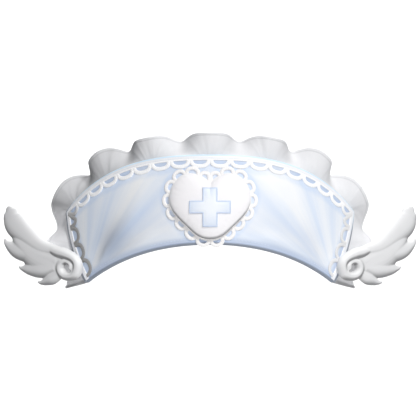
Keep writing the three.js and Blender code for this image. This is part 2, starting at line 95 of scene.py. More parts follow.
# Ruffle. Its hollows and flutes are (share of the way from the crown to a foot, degrees back),
# and where it is cut wider (share of the way, reach along it, part of the width added).
RUFFLE_THICKNESS = 1.2 * MM
RUFFLE_WIDTH = 14 * MM
RUFFLE_TUCK = 4.6 * MM
RUFFLE_HOLLOW_WIDTH = 19.5 * MM
RUFFLE_FAN = 0.5 * MM
RUFFLE_TAIL_LIFT = 6 * MM
RUFFLE_HOLLOWS = [(0.12, 42), (0.345, 41), (0.56, 36), (0.738, -4), (0.93, -10)]
RUFFLE_WIDER = [
    (0.41, 0.08, 0.22), (0.585, 0.06, 0.32), (0.71, 0.04, -0.08), (0.8, 0.03, 0.22),
    (1, 0.04, 0.2),
]
RUFFLE_FLUTES = [(0, -8), (0.5, -14), (0.79, -50), (0.86, -38), (0.93, -14), (1, -14)]
RUFFLE_SIDE_NARROWING = 0.68
RUFFLE_END = 1.6 * MM
RUFFLE_END_EASE = 9 * MM
RUFFLE_END_UNTUCK = 0.85
RUFFLE_ROLL = 0.8 * MM
# Where the painted shade on the flutes' flanks lies
FLANK_SHIFT = 0.045
FLANK_WIDTH = 0.032
LOBE_PLEATS = 6

# Heart, its outline as shares of its half width and of its rise
HEART_HALF_WIDTH = 25.3 * MM
HEART_RISE = 20.9 * MM
HEART_HEIGHT = 23.2 * MM
HEART_THICKNESS = 7.5 * MM
HEART_EDGE = 2.2 * MM
HEART_START = (0, 0.71)
HEART_CURVES = [
    (0.12, 0.89, 0.29, 1, 0.49, 1),
    (0.78, 1, 1, 0.6, 1, 0.24),
    (1, -0.15, 0.8, -0.33, 0.41, -0.8),
    (0.24, -0.98, 0.12, -1, 0, -1),
]
HEART_LOOPS = 18
HEART_LACE_TUCK = 1.8 * MM
HEART_LACE_CREST = 4.4 * MM
HEART_LACE_HEADER_END = 0.1 * MM
HEART_LOOP_START = -0.9 * MM
HEART_BACK = LACE_FRONT + CLEARANCE
HEART_SIDES = 160
HEART_PROFILE = [(0.02, 0.0), (0.5, 0.0), (0.9, 0.0), (0.97, 0.15), (1.0, 0.5), (1.0, 1.0)]
HEART_DOME = (0.99, 0.975, 0.95, 0.92, 0.88, 0.82, 0.75, 0.66, 0.56, 0.44, 0.3, 0.15, 0.02)
HEART_CLOTH_GRAIN = 0.95 * MM
FILLING_FRAMES = 20
PUCKER_COUNTS = (23, 34, 47)
PUCKER_HEIGHT = 0.16 * MM

# Cross
CROSS_WIDTH = 23.8 * MM
CROSS_HEIGHT = 24.2 * MM
CROSS_UPRIGHT_WIDTH = 8.6 * MM
CROSS_BAR_WIDTH = 7.8 * MM
CROSS_DROP = 1.2 * MM
CROSS_THICKNESS = 0.8 * MM
CROSS_EASE = 0.55 * MM
CROSS_QUILT = 0.12 * MM
CROSS_SUNK = 0.5 * MM
CROSS_STEP = 0.32 * MM

# Stitches
STITCH_MARGIN = 8 * MM
STITCH_INSET = 0.9 * MM
BORDER_INSET = 0.42 * MM
BORDER_STEP = 0.5 * MM
BORDER_TURN = math.pi / 2 - 0.12

# Wings. Feather sections are (out, up, width, thick), as shares of the span, of the height
# twice and of the thickness. The last two rows of them are the wing's root and its body. The
# curl's are (turn, reach, tube), its depth shares of a feather's thickness.
WING_SPAN = 52.6 * MM
WING_HEIGHT = 39.4 * MM
WING_SWEEP = math.radians(30)
WING_OFFSET = 89.5 * MM
WING_LEVEL = -15.4 * MM
WING_STAND_OFF = 1.6 * MM
FEATHER_THICKNESS = 6.4 * MM
FEATHERS = [
    [
        (0.127, 0.25, 0.16, 0.9),
        (0.39, 0.315, 0.27, 1.0),
        (0.6, 0.482, 0.36, 1.0),
        (0.777, 0.664, 0.42, 0.9),
        (0.838, 0.806, 0.36, 0.75),
        (0.85, 0.893, 0.265, 0.64),
        (0.86, 0.945, 0.19, 0.55),
        (0.858, 0.985, 0.1, 0.45),
    ],
    [
        (0.157, 0.09, 0.22, 0.9),
        (0.367, 0.175, 0.32, 1.0),
        (0.577, 0.215, 0.33, 0.95),
        (0.776, 0.272, 0.28, 0.8),
        (0.906, 0.363, 0.13, 0.5),
        (0.954, 0.452, 0.04, 0.15),
    ],
    [
        (0.187, 0.0, 0.2, 0.9),
        (0.39, -0.035, 0.3, 0.95),
        (0.575, -0.04, 0.21, 0.7),
        (0.689, -0.03, 0.08, 0.4),
        (0.737, 0.003, 0.03, 0.15),
    ],
    [
        (0.127, -0.1, 0.18, 0.8),
        (0.24, -0.185, 0.21, 0.85),
        (0.34, -0.238, 0.13, 0.6),
        (0.405, -0.256, 0.07, 0.4),
        (0.452, -0.242, 0.035, 0.25),
    ],
    [
        (0.08, 0.2, 0.16, 0.6),
        (0.15, 0.12, 0.2, 0.75),
        (0.18, 0.0, 0.22, 0.8),
        (0.16, -0.09, 0.16, 0.6),
    ],
    [
        (0.12, 0.03, 0.4, 0.8),
        (0.3, 0.1, 0.54, 0.96),
        (0.5, 0.2, 0.5, 1.0),
        (0.68, 0.37, 0.34, 0.9),
        (0.78, 0.52, 0.2, 0.6),
    ],
]
CURL_PLACE = (-1.0 * MM, -0.4 * MM)
CURL_RADIUS = 5.4 * MM
CURL_TUBE = 3.0 * MM
CURL_DEPTH = 0.5
CURL_TUBE_DEPTH = 0.62
CURL_RUN = 14
CURL_SHADE_REACH = 7.6 * MM
CURL_SHADE_WIDTH = 0.6 * MM
CURL_SHADE_TURN = (-0.2, 0.75)
LEAST_SECTION = 0.01
ROW_PARTS = 8
CURL = [
    (-0.135, 3.1, 0.6),
    (-0.115, 2.55, 1.1),
    (-0.08, 2.0, 1.25),
    (0.0, 1.43, 1.08),
    (0.125, 1.17, 0.98),
    (0.25, 1.0, 1.0),
    (0.375, 1.0, 1.0),
    (0.5, 1.0, 0.98),
    (0.625, 1.1, 0.95),
    (0.75, 1.14, 0.88),
    (0.875, 0.98, 0.7),
    (1.0, 0.62, 0.6),
    (1.12, 0.38, 0.7),
    (1.3, 0.15, 0.85),
]


# Sizes and colours that a user may change


def tint(red, green, blue):
    """A colour given as it looks on a screen, 0 to 255, as light."""
    shares = (value / 255 for value in (red, green, blue))
    return tuple(
        share / 12.92 if share <= 0.04045 else ((share + 0.055) / 1.055) ** 2.4
        for share in shares
    )


def length_of(name, description, default):
    return FloatProperty(
        name=name, description=description, default=default, min=0, unit="LENGTH",
        subtype="DISTANCE", precision=5,
    )


def colour_of(name, description, default):
    return FloatVectorProperty(
        name=name, description=description, default=default, size=3, min=0, max=1,
        subtype="COLOR",
    )


class CapSizes(bpy.types.PropertyGroup):
    """Sizes of the cap's sewn detail."""

    fold_height: length_of("Fold Height", "Height of the satin's drag folds", 1.5 * MM)
    crease_height: length_of("Crease Height", "Height of the satin's creases", 0.16 * MM)
    lace_cord: length_of("Lace Cord", "Width of the cord of the lace trim", 2.6 * MM)
    heart_cord: length_of("Heart Cord", "Width of the cord round the heart", 2.35 * MM)
    lace_ply: length_of("Lace Ply", "Length of one twist of the lace cord", 1.3 * MM)
    pleat_height: length_of("Pleat Height", "Height of the frill's pleats", 0.55 * MM)
    stitch_length: length_of("Stitch Length", "Length of one seam stitch", 1.5 * MM)
    stitch_gap: length_of("Stitch Gap", "From one seam stitch to the next", 2.1 * MM)
    thread_width: length_of("Thread Width", "Width of the sewing thread", 0.32 * MM)
    border_width: length_of("Border Width", "Satin stitch round the cross", 1.0 * MM)
    heart_swell: length_of("Heart Swell", "How far the filling swells the heart", 0.7 * MM)
    wing_grain: length_of("Wing Grain", "Fineness of the moulded wings", 0.42 * MM)
    seed: IntProperty(name="Seed", description="Of creases and pleats", default=7, min=0)


class CapColours(bpy.types.PropertyGroup):
    """Colours of the cap."""

    # Satin Blue is the satin's own blue and the deep end of its painted fold shade; Satin Cream
    # is its painted highlight colour and the lining's pale tone.
    satin_blue: colour_of("Satin Blue", "Blue lights of the satin", tint(211, 223, 241))
    satin_pale_and_sheen: colour_of("Satin Cream", "Pale lights of the satin", tint(244, 245, 246))
    piping_edge: colour_of("Piping Edge", "Outer line of the piping", tint(212, 235, 252))
    piping_pale: colour_of("Piping Pale", "Face of the piping", tint(240, 241, 245))
    # Slate and Slate Blue are painted shade colours: the hem roll in shade, the piping's outer
    # line at the sides, and shaded parts of the satin.
    slate_shade: colour_of("Slate", "Dark line of the hem", tint(132, 140, 153))
    blue_grey_shade: colour_of("Slate Blue", "Upper side of the hem", tint(170, 186, 213))
    lace_white: colour_of("Lace White", "Lace trim", tint(252, 252, 253))
    lace_cream: colour_of("Lace Cream", "Lace round the heart", tint(250, 248, 247))
    frill: colour_of("Frill", "Frill", tint(231, 231, 233))
    heart: colour_of("Heart", "Heart", tint(250, 248, 250))
    cross_blue: colour_of("Cross Blue", "Ends and border of the cross", tint(205, 220, 243))
    cross_pale: colour_of("Cross Pale", "Middle of the cross", tint(237, 241, 247))
    wing: colour_of("Wing", "Wings", tint(225, 225, 226))
    floor: colour_of("Floor", "Floor and backdrop", tint(250, 250, 250))


# Numbers


def lerp(low, high, share):
    return low + (high - low) * share


def smoothstep(value, low, high):
    share = np.clip((value - low) / (high - low), 0, 1)
    return share * share * (3 - 2 * share)


def bell(value, middle, width):
    return np.exp(-(((value - middle) / width) ** 2))


def unit(vectors):
    return vectors / np.linalg.norm(vectors, axis=-1, keepdims=True)


# The pattern, and how it is worn


def outward(along):
    """The way out of the cloth at a length along the band."""
    angle = np.asarray(along) / BAND_RADIUS
    rise = math.tan(LEAN_BACK)
    return unit(np.stack([np.sin(angle), -np.cos(angle), np.cos(angle) * rise], -1))


def wrap(along, height, out):
    """Places of spots of the pattern, out from the middle of the band's cloth."""
    along, height, out = np.broadcast_arrays(along, height, out)
    angle = along / BAND_RADIUS
    lean = height * math.tan(LEAN_BACK)
    depth = BAND_RADIUS * (1 - np.cos(angle)) + lean - BAND_THICKNESS / 2
    place = np.stack([BAND_RADIUS * np.sin(angle), depth, height], -1)
    return place + outward(along) * out[..., None]


def unwrap(places):
    """Along, height and out of some places."""
    out = np.zeros(len(places))
    for _ in range(6):
        reach = BAND_RADIUS + out
        along = BAND_RADIUS * np.arcsin(np.clip(places[:, 0] / reach, -1, 1))
        normal = outward(along)
        height = places[:, 2] - normal[:, 2] * out
        out = out + np.sum((places - wrap(along, height, out)) * normal, axis=1)
    return along, height, out


class Rail:
    """An edge of the pattern, from one end to the other, with its inside to the right."""

    def __init__(self, points):
        self.points = np.asarray(points)
        steps = np.linalg.norm(np.diff(self.points, axis=0), axis=1)
        self.lengths = np.concatenate(([0], np.cumsum(steps)))
        self.reach = self.lengths[-1] / 2

    def point(self, length):
        """Counts from the middle of the rail, and goes on straight past its ends."""
        target = np.asarray(length) + self.reach
        index = np.searchsorted(self.lengths, target, side="right")
        index = np.clip(index, 1, len(self.lengths) - 1)
        low, high = self.lengths[index - 1], self.lengths[index]
        share = ((target - low) / (high - low))[..., None]
        return lerp(self.points[index - 1], self.points[index], share)

    def pattern(self, length, inward):
        ahead = self.point(length + CORNER_EASE) - self.point(length - CORNER_EASE)
        inside = unit(np.stack([ahead[..., 1], -ahead[..., 0]], -1))
        return self.point(length) + inside * np.asarray(inward)[..., None]

    def place(self, length, inward, out):
        spot = self.pattern(length, inward)
        return wrap(spot[..., 0], spot[..., 1], out)

    def out(self, length):
        return outward(self.point(length)[..., 0])


CROWN_HEIGHT = SHOULDER_HEIGHT + RIM_RISE
SHOULDER_ALONG = BAND_RADIUS * math.asin(RIM_HALF_WIDTH / BAND_RADIUS)
FOOT_ALONG = BAND_RADIUS * math.asin(FOOT_HALF_WIDTH / BAND_RADIUS)
RAIL_STEPS = 240


def crown_points():
    share = np.linspace(-1, 1, 2 * RAIL_STEPS + 1)
    drop = RIM_RISE * np.abs(share) ** RIM_POWER
    return np.stack([share * SHOULDER_ALONG, CROWN_HEIGHT - drop], -1)


def side_points(side):
    """One side edge, from the shoulder down to the foot."""
    share = np.linspace(0, 1, RAIL_STEPS + 1)
    along = lerp(SHOULDER_ALONG, FOOT_ALONG, share**SIDE_POWER)
    return np.stack([side * along, lerp(SHOULDER_HEIGHT, -FOOT_DROP, share)], -1)


def hem_points():
    share = np.linspace(1, -1, 2 * RAIL_STEPS + 1)
    drop = FOOT_DROP * np.abs(share) ** LOWER_RIM_POWER
    return np.stack([share * FOOT_ALONG, -drop], -1)


EDGE = Rail(
    np.concatenate([side_points(-1)[::-1][:-1], crown_points(), side_points(1)[1:]])
)
HEM = Rail(hem_points())
CROWN_REACH = Rail(crown_points()).reach
SIDE_REACH = EDGE.reach - CROWN_REACH


# Outline of the heart


def bezier(start, row, share):
    one, two, end = (np.array(row[i : i + 2]) for i in (0, 2, 4))
    rest = 1 - share
    return (
        rest**3 * np.array(start) + 3 * rest**2 * share * one
        + 3 * rest * share**2 * two + share**3 * end
    )


def heart_points(steps=60):
    """Half of the outline from the notch to the point, then back up the other side."""
    share = np.linspace(0, 1, steps, endpoint=False)[:, None]
    half, start = [], HEART_START
    for row in HEART_CURVES:
        half.append(bezier(start, row, share))
        start = row[4:]
    half = np.concatenate([*half, [start]])
    other = half[::-1][1:] * (-1, 1)
    return np.concatenate([half, other]) * (HEART_HALF_WIDTH, HEART_RISE)


HEART = heart_points()
HEART_STEPS = np.concatenate(
    ([0], np.cumsum(np.linalg.norm(np.diff(HEART, axis=0), axis=1)))
)
HEART_LENGTH = HEART_STEPS[-1]
HEART_ANGLES = np.arctan2(HEART[:-1, 1], HEART[:-1, 0])
HEART_ORDER = np.argsort(HEART_ANGLES)


def heart_spot(length):
    length = np.mod(length, HEART_LENGTH)
    return np.stack([np.interp(length, HEART_STEPS, HEART[:, axis]) for axis in (0, 1)], -1)


def heart_reach(angle):
    """Centre of the heart to its outline, along a ray."""
    rays = np.linalg.norm(HEART[:-1], axis=1)[HEART_ORDER]
    return np.interp(angle, HEART_ANGLES[HEART_ORDER], rays, period=2 * math.pi)


def heart_share(across, up):
    return np.hypot(across, up) / heart_reach(np.arctan2(up, across))


def heart_rise(share):
    dome = (1 - np.clip(share, 0, 1) ** 3.4) ** 0.6
    return HEART_EDGE + (HEART_THICKNESS - HEART_EDGE) * dome


# Meshes


def new_object(name, mesh):
    piece = bpy.data.objects.new(name, mesh)
    bpy.context.scene.collection.objects.link(piece)
    return piece


def mesh_from(name, points, faces, edges=()):
    mesh = bpy.data.meshes.new(name)
    mesh.from_pydata(np.asarray(points).reshape(-1, 3).tolist(), list(edges), faces)
    mesh.update()
    return mesh


def outward_faces(mesh, merge=0.0):
    work = bmesh.new()
    work.from_mesh(mesh)
    if merge:
        bmesh.ops.remove_doubles(work, verts=work.verts, dist=merge)
    bmesh.ops.recalc_face_normals(work, faces=work.faces)
    work.to_mesh(mesh)
    work.free()
    mesh.shade_smooth()


def grid_faces(rows, columns, start=0, closed=False):
    faces = []
    for row in range(rows - 1):
        for column in range(columns if closed else columns - 1):
            beside = (column + 1) % columns
            low, high = start + row * columns, start + (row + 1) * columns
            faces.append((low + column, low + beside, high + beside, high + column))
    return faces


def walled(front, back):
    """Points and faces of a sheet with two sides and a wall all round."""
    rows, columns = front.shape[:2]
    count = rows * columns
    faces = grid_faces(rows, columns)
    faces += [tuple(count + corner for corner in face[::-1]) for face in faces]
    rim = [
        *range(columns),
        *(row * columns + columns - 1 for row in range(1, rows)),
        *((rows - 1) * columns + column for column in range(columns - 2, -1, -1)),
        *(row * columns for row in range(rows - 2, 0, -1)),
    ]
    for here, there in zip(rim, [*rim[1:], rim[0]]):
        faces.append((here, count + here, count + there, there))
    return np.concatenate([front.reshape(-1, 3), back.reshape(-1, 3)]), faces


def store(mesh, name, values):
    """Keeps a vector of each point of the mesh as an attribute."""
    attribute = mesh.attributes.new(name, "FLOAT_VECTOR", "POINT")
    attribute.data.foreach_set("vector", np.asarray(values, dtype=np.float32).ravel())


def store_both(mesh, name, *columns):
    """Keeps three values of a sheet's grid, alike for its front and its back."""
    values = np.stack(columns, -1).reshape(-1, 3)
    store(mesh, name, np.concatenate([values, values]))


def evaluated(piece, name):
    """The piece with its modifiers worked in, as a new plain object. The old one goes."""
    graph = bpy.context.evaluated_depsgraph_get()
    mesh = bpy.data.meshes.new_from_object(piece.evaluated_get(graph))
    old = piece.data
    bpy.data.objects.remove(piece)
    bpy.data.meshes.remove(old)
    mesh.name = name
    return new_object(name, mesh)


def dressed(piece, slot, *nodes):
    """Hands a finished piece to the frame."""
    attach(piece, "root")
    if nodes:
        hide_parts(*nodes)


def covered(piece, material, slot, node):
    """Gives a piece its one material and hands it to the frame."""
    piece.data.materials.clear()
    piece.data.materials.append(material)
    piece.data.shade_smooth()
    dressed(piece, slot, node)


# Node trees


class Term:
    """A socket that can stand in a sum."""

    def __init__(self, bench, socket):
        self.bench = bench
        self.socket = socket

    def apply(self, operation, *values):
        inputs = dict(enumerate((self, *values)))
        return self.bench.add("ShaderNodeMath", {"operation": operation}, inputs)

    def reverse(self, operation, value):
        return self.bench.add(
            "ShaderNodeMath", {"operation": operation}, {0: value, 1: self}
        )

    def __add__(self, other):
        return self.apply("ADD", other)

    def __radd__(self, other):
        return self.reverse("ADD", other)

    def __sub__(self, other):
        return self.apply("SUBTRACT", other)

    def __rsub__(self, other):
        return self.reverse("SUBTRACT", other)

    def __mul__(self, other):
        return self.apply("MULTIPLY", other)

    def __rmul__(self, other):
        return self.reverse("MULTIPLY", other)

    def __truediv__(self, other):
        return self.apply("DIVIDE", other)

    def __abs__(self):
        return self.apply("ABSOLUTE")


class Bench:
    """Adds nodes to a tree."""

    def __init__(self, tree):
        self.tree = tree

    def add(self, kind, settings=None, inputs=None, out=0):
        """Settings are set first, then the sockets get their values or links."""
        node = self.tree.nodes.new(kind)
        for key, value in (settings or {}).items():
            setattr(node, key, value)
        for key, value in (inputs or {}).items():
            if isinstance(value, Term):
                self.tree.links.new(value.socket, node.inputs[key])
            else:
                node.inputs[key].default_value = value
        return Term(self, node.outputs[out]) if node.outputs else None

    def split(self, vector):
        first = self.add("ShaderNodeSeparateXYZ", inputs={0: vector})
        return first, self.other(first, 1), self.other(first, 2)

    def other(self, term, out):
        """Another output of the same node."""
        return Term(self, term.socket.node.outputs[out])


class Finish(Bench):
    """A material and the looks that are worked out in it."""

    def __init__(self, name):
        self.material = bpy.data.materials.new(name)
        self.material.use_nodes = True
        super().__init__(self.material.node_tree)
        self.tree.nodes.clear()

    def place(self):
        return self.add("ShaderNodeTexCoord", out="Object")

    def attribute(self, name):
        return self.add("ShaderNodeAttribute", {"attribute_name": name}, out="Vector")

    def join(self, x, y, z=0.0):
        return self.add("ShaderNodeCombineXYZ", inputs={0: x, 1: y, 2: z})

    def noise(self, vector, scale, detail=3.0, rough=0.5):
        inputs = {"Vector": vector, "Scale": scale, "Detail": detail, "Roughness": rough}
        return self.add("ShaderNodeTexNoise", {"noise_dimensions": "3D"}, inputs)

    def step(self, value, low, high):
        """0 below low and 1 above high, smooth between them. low may be the higher."""
        return self.add(
            "ShaderNodeMapRange", {"interpolation_type": "SMOOTHSTEP"},
            {"Value": value, "From Min": low, "From Max": high},
        )

    def bell(self, value, middle, width):
        away = (value - middle) / width
        return (away * away * -1.0).apply("EXPONENT")

    def mix(self, share, low, high):
        low, high = (
            (*colour, 1) if isinstance(colour, tuple) else colour for colour in (low, high)
        )
        return self.add(
            "ShaderNodeMix", {"data_type": "RGBA"}, {0: share, 6: low, 7: high}, out=2
        )

    def ripples(self, value, pitch):
        """Rounded ribs, one for each pitch of the value."""
        return abs((value * (math.pi / pitch)).apply("SINE"))

    def made(self, colour, roughness, relief, constants=None):
        """relief is a height in metres."""
        bump = self.add(
            "ShaderNodeBump", inputs={"Strength": 1.0, "Distance": 1.0, "Height": relief}
        )
        inputs = {"Base Color": colour, "Roughness": roughness, "Normal": bump}
        inputs.update(constants or {})
        shader = self.add("ShaderNodeBsdfPrincipled", inputs=inputs)
        self.add("ShaderNodeOutputMaterial", inputs={"Surface": shader})
        return self.material


def colour(name):
    return tuple(getattr(bpy.context.scene.cap_colours, name))


def size(name):
    return getattr(bpy.context.scene.cap_sizes, name)


# Geometry node trees


def new_tree(name, sockets):
    """A tree with named inputs, as (name, socket type, default)."""
    tree = bpy.data.node_groups.new(name, "GeometryNodeTree")
    face = tree.interface
    face.new_socket("Geometry", in_out="OUTPUT", socket_type="NodeSocketGeometry")
    face.new_socket("Path", in_out="INPUT", socket_type="NodeSocketGeometry")
    for socket_name, kind, default in sockets:
        socket = face.new_socket(socket_name, in_out="INPUT", socket_type=kind)
        if default is not None:
            socket.default_value = default
    bench = Bench(tree)
    first = bench.add("NodeGroupInput")
    names = ["Path", *(row[0] for row in sockets)]
    return bench, {key: bench.other(first, i) for i, key in enumerate(names)}


def named(bench, name):
    return bench.add(
        "GeometryNodeInputNamedAttribute", {"data_type": "FLOAT_VECTOR"}, {"Name": name}
    )


def kept(bench, geometry, kind, name, value):
    return bench.add(
        "GeometryNodeStoreNamedAttribute", {"data_type": kind, "domain": "POINT"},
        {"Geometry": geometry, "Name": name, "Value": value},
    )


def path_curve(bench, inputs):
    """The path as curves that have the way out of the cloth as their normal."""
    curve = bench.add("GeometryNodeMeshToCurve", inputs={0: inputs["Path"]})
    return bench.add(
        "GeometryNodeSetCurveNormal", {"mode": "FREE"},
        {"Curve": curve, "Normal": named(bench, "out")},
    )


def finish_tree(bench, geometry, inputs):
    whole = bench.add("GeometryNodeRealizeInstances", inputs={0: geometry})
    smooth = bench.add("GeometryNodeSetShadeSmooth", inputs={0: whole})
    done = bench.add(
        "GeometryNodeSetMaterial", inputs={0: smooth, "Material": inputs["Material"]}
    )
    bench.add("NodeGroupOutput", inputs={0: done})


def cord_tree():
    """A cord along each strand of the path, with its length and its round kept."""
    bench, inputs = new_tree("Sewn Cord", [
        ("Width", "NodeSocketFloat", 2 * MM),
        ("Thickness", "NodeSocketFloat", 1 * MM),
        ("Sides", "NodeSocketInt", 12),
        ("Material", "NodeSocketMaterial", None),
    ])
    curve = path_curve(bench, inputs)
    length = bench.add("GeometryNodeSplineParameter", out="Length")
    curve = kept(bench, curve, "FLOAT", "run", length)
    circle = bench.add(
        "GeometryNodeCurvePrimitiveCircle", inputs={"Resolution": inputs["Sides"], "Radius": 0.5}
    )
    spot = bench.add("GeometryNodeInputPosition")
    circle = kept(bench, circle, "FLOAT_VECTOR", "round", spot)
    scale = bench.add(
        "ShaderNodeCombineXYZ", inputs={0: inputs["Thickness"], 1: inputs["Width"], 2: 1.0}
    )
    circle = bench.add(
        "GeometryNodeTransform", inputs={"Geometry": circle, "Scale": scale}
    )
    swept = bench.add(
        "GeometryNodeCurveToMesh",
        inputs={"Curve": curve, "Profile Curve": circle, "Fill Caps": True},
    )
    _, inward, _ = bench.split(named(bench, "round"))
    offset = bench.add(
        "ShaderNodeVectorMath", {"operation": "SCALE"},
        {0: named(bench, "spread"), "Scale": inward * inputs["Width"]},
    )
    swept = bench.add(
        "GeometryNodeSetPosition", inputs={"Geometry": swept, "Offset": offset}
    )
    finish_tree(bench, swept, inputs)
    return bench.tree


def stitch_tree():
    """Stitches of thread along the path, turned from its way by an angle."""
    bench, inputs = new_tree("Stitch Row", [
        ("Gap", "NodeSocketFloat", 2 * MM),
        ("Length", "NodeSocketFloat", 1.5 * MM),
        ("Width", "NodeSocketFloat", 0.3 * MM),
        ("Turn", "NodeSocketFloat", 0.0),
        ("Material", "NodeSocketMaterial", None),
    ])
    curve = path_curve(bench, inputs)
    points = bench.add(
        "GeometryNodeCurveToPoints", {"mode": "LENGTH"},
        {"Curve": curve, "Length": inputs["Gap"]},
    )
    turn = bench.add(
        "FunctionNodeAxesToRotation", {"primary_axis": "X", "secondary_axis": "Z"},
        {0: bench.other(points, "Tangent"), 1: bench.other(points, "Normal")},
    )
    spin = bench.add("ShaderNodeCombineXYZ", inputs={2: inputs["Turn"]})
    turn = bench.add(
        "FunctionNodeRotateRotation", {"rotation_space": "LOCAL"}, {0: turn, 1: spin}
    )
    scale = bench.add(
        "ShaderNodeCombineXYZ",
        inputs={0: inputs["Length"], 1: inputs["Width"], 2: inputs["Width"]},
    )
    thread = bench.add(
        "GeometryNodeMeshUVSphere", inputs={"Segments": 8, "Rings": 6, "Radius": 0.5}
    )
    row = bench.add(
        "GeometryNodeInstanceOnPoints",
        inputs={"Points": points, "Instance": thread, "Rotation": turn, "Scale": scale},
    )
    finish_tree(bench, row, inputs)
    return bench.tree


def path_object(strands, outs, closed=False, spreads=None):
    """Strands of points, with the way out of the cloth and the extra width at each."""
    edges, count = [], 0
    for strand in strands:
        last = len(strand)
        edges += [(count + i, count + i + 1) for i in range(last - 1)]
        if closed:
            edges.append((count + last - 1, count))
        count += last
    mesh = mesh_from("path", np.concatenate(strands), [], edges)
    store(mesh, "out", np.concatenate(outs))
    store(mesh, "spread", np.zeros((count, 3)) if spreads is None else np.concatenate(spreads))
    return new_object("path", mesh)


def along_path(name, tree, path, values):
    """Runs a tree on a path and keeps the result as a plain mesh."""
    modifier = path.modifiers.new(name, "NODES")
    modifier.node_group = tree
    sockets = {
        item.name: item.identifier
        for item in tree.interface.items_tree
        if item.item_type == "SOCKET" and item.in_out == "INPUT"
    }
    for key, value in values.items():
        modifier[sockets[key]] = value
    return evaluated(path, name)


def sewn_cord(name, tree, path, width, thickness, material, sides=12):
    values = {"Width": width, "Thickness": thickness, "Sides": sides, "Material": material}
    return along_path(name, tree, path, values)


def joined(name, pieces):
    """Several plain pieces as one. All of them share one material."""
    first, *rest = pieces
    work = bmesh.new()
    for piece in pieces:
        work.from_mesh(piece.data)
    work.to_mesh(first.data)
    work.free()
    for piece in rest:
        mesh = piece.data
        bpy.data.objects.remove(piece)
        bpy.data.meshes.remove(mesh)
    first.name = name
    first.data.name = name
    return first


# Materials


def satin():
    """Pale blue satin, with painted highlight and painted fold shade in streaks that fan out
    from both feet of the band.
    """
    finish = Finish("satin")
    along, height, above_hem = finish.split(finish.attribute("pattern"))
    inward = FOOT_ALONG - abs(along)
    up = height + FOOT_DROP
    angle = up.apply("ARCTAN2", inward)
    reach = (inward * inward + up * up).apply("SQRT")
    side = finish.step(along, -14 * MM, 14 * MM) * 2 - 1
    fan = finish.join(angle * 3.2, reach * 8.0, side * 3.7)
    fine_fan = finish.join(angle * 13.0, reach * 12.0, side * 5.1)
    broad = finish.noise(fan, 1.0, 1.0)
    fine = finish.noise(fine_fan, 1.0, 2.0, 0.5)
    # Painted shade: blue streaks in the valleys of the drag folds.
    fold_shade_streaks = (
        finish.bell(angle, math.radians(47), 0.075)
        + finish.bell(angle, math.radians(70), 0.06) * 0.7
        + finish.bell(angle, math.radians(86), 0.07) * 0.8
    )
    # Painted highlight: pale streaks on the ridges of the folds, and a pale band just above the
    # hem.
    sheen_streaks = (
        finish.bell(angle, math.radians(59), 0.07)
        + finish.bell(angle, math.radians(36), 0.07) * 0.5
        + finish.bell(above_hem, 9.5 * MM, 3.2 * MM) * 0.8
    )
    near = finish.step(reach, 10 * MM, 34 * MM)
    # Share of the pale highlight colour against the blue, streaked by fanned noise: painted
    # light and shade.
    pale_sheen_share = 0.58 + (broad - 0.5) * 1.3 + (fine - 0.5) * 0.7
    # Painted highlight: a broad pale patch in the middle of each side.
    sheen = finish.bell(angle, math.radians(52), 0.2) * finish.step(reach, 52 * MM, 78 * MM)
    pale_sheen_share = pale_sheen_share + (sheen_streaks * 0.32 - fold_shade_streaks * 0.42) * near + sheen * 0.4
    in_from_rim, beyond_heart, inside = finish.split(finish.attribute("trim"))
    # Painted shade: the satin is bluer next to the lace trim and round the heart's lace.
    trim_shade = finish.step(in_from_rim, 12 * MM, 8 * MM)
    trim_shade = trim_shade.apply("MAXIMUM", finish.step(beyond_heart, 7.5 * MM, 4 * MM))
    pale_sheen_share = pale_sheen_share - trim_shade * 0.5
    pale_sheen_share = pale_sheen_share.apply("MINIMUM", 1.0).apply("MAXIMUM", 0.0)
    base = finish.mix(pale_sheen_share, colour("satin_blue"), colour("satin_pale_and_sheen"))
    # Painted shade: a blue-grey hollow near each foot, deeper on the left, and a broader,
    # fainter shade above it.
    hollow = finish.bell(angle, math.radians(50), 0.26) * finish.bell(reach, 33 * MM, 15 * MM)
    left = finish.step(along, 10 * MM, -30 * MM)
    base = finish.mix(hollow * (0.38 + left * 0.2), base, colour("blue_grey_shade"))
    base = finish.mix(hollow * left * 0.36, base, colour("slate_shade"))
    dip_shade = finish.bell(angle, math.radians(38), 0.3) * finish.bell(reach, 62 * MM, 24 * MM)
    base = finish.mix(dip_shade * 0.26, base, colour("blue_grey_shade"))
    # Painted shade under the piping, where the satin shows through the lace's holes.
    under = finish.step(in_from_rim, 7.6 * MM, 5 * MM)
    base = finish.mix(under * 0.5, base, colour("blue_grey_shade"))
    # Painted shade: the satin turns blue-grey just above the hem.
    edge = finish.step(above_hem, 5.0 * MM, 1.2 * MM)
    base = finish.mix(edge * 0.65, base, colour("blue_grey_shade"))
    place = finish.place()
    cloudy = finish.noise(place, 70.0, 3.0)
    lining = finish.mix(cloudy * 0.8, colour("satin_pale_and_sheen"), colour("satin_blue"))
    seam = finish.bell(in_from_rim, 4 * MM, 0.35 * MM)
    lining = finish.mix(seam * 0.35, lining, colour("blue_grey_shade"))
    base = finish.mix(inside, base, lining)
    mottle = finish.noise(place, 900.0, 2.0)
    base = finish.mix(mottle * 0.05, base, (0.35, 0.42, 0.55))
    threads = finish.ripples(along + height * 0.35, 0.45 * MM)
    relief = threads * (0.008 * MM) + fine * (0.22 * MM)
    roughness = 0.36 + mottle * 0.08 + (1 - fine) * 0.05
    constants = {"Sheen Weight": 0.25, "Sheen Roughness": 0.4, "Specular IOR Level": 0.5}
    return finish.made(base, roughness, relief, constants)


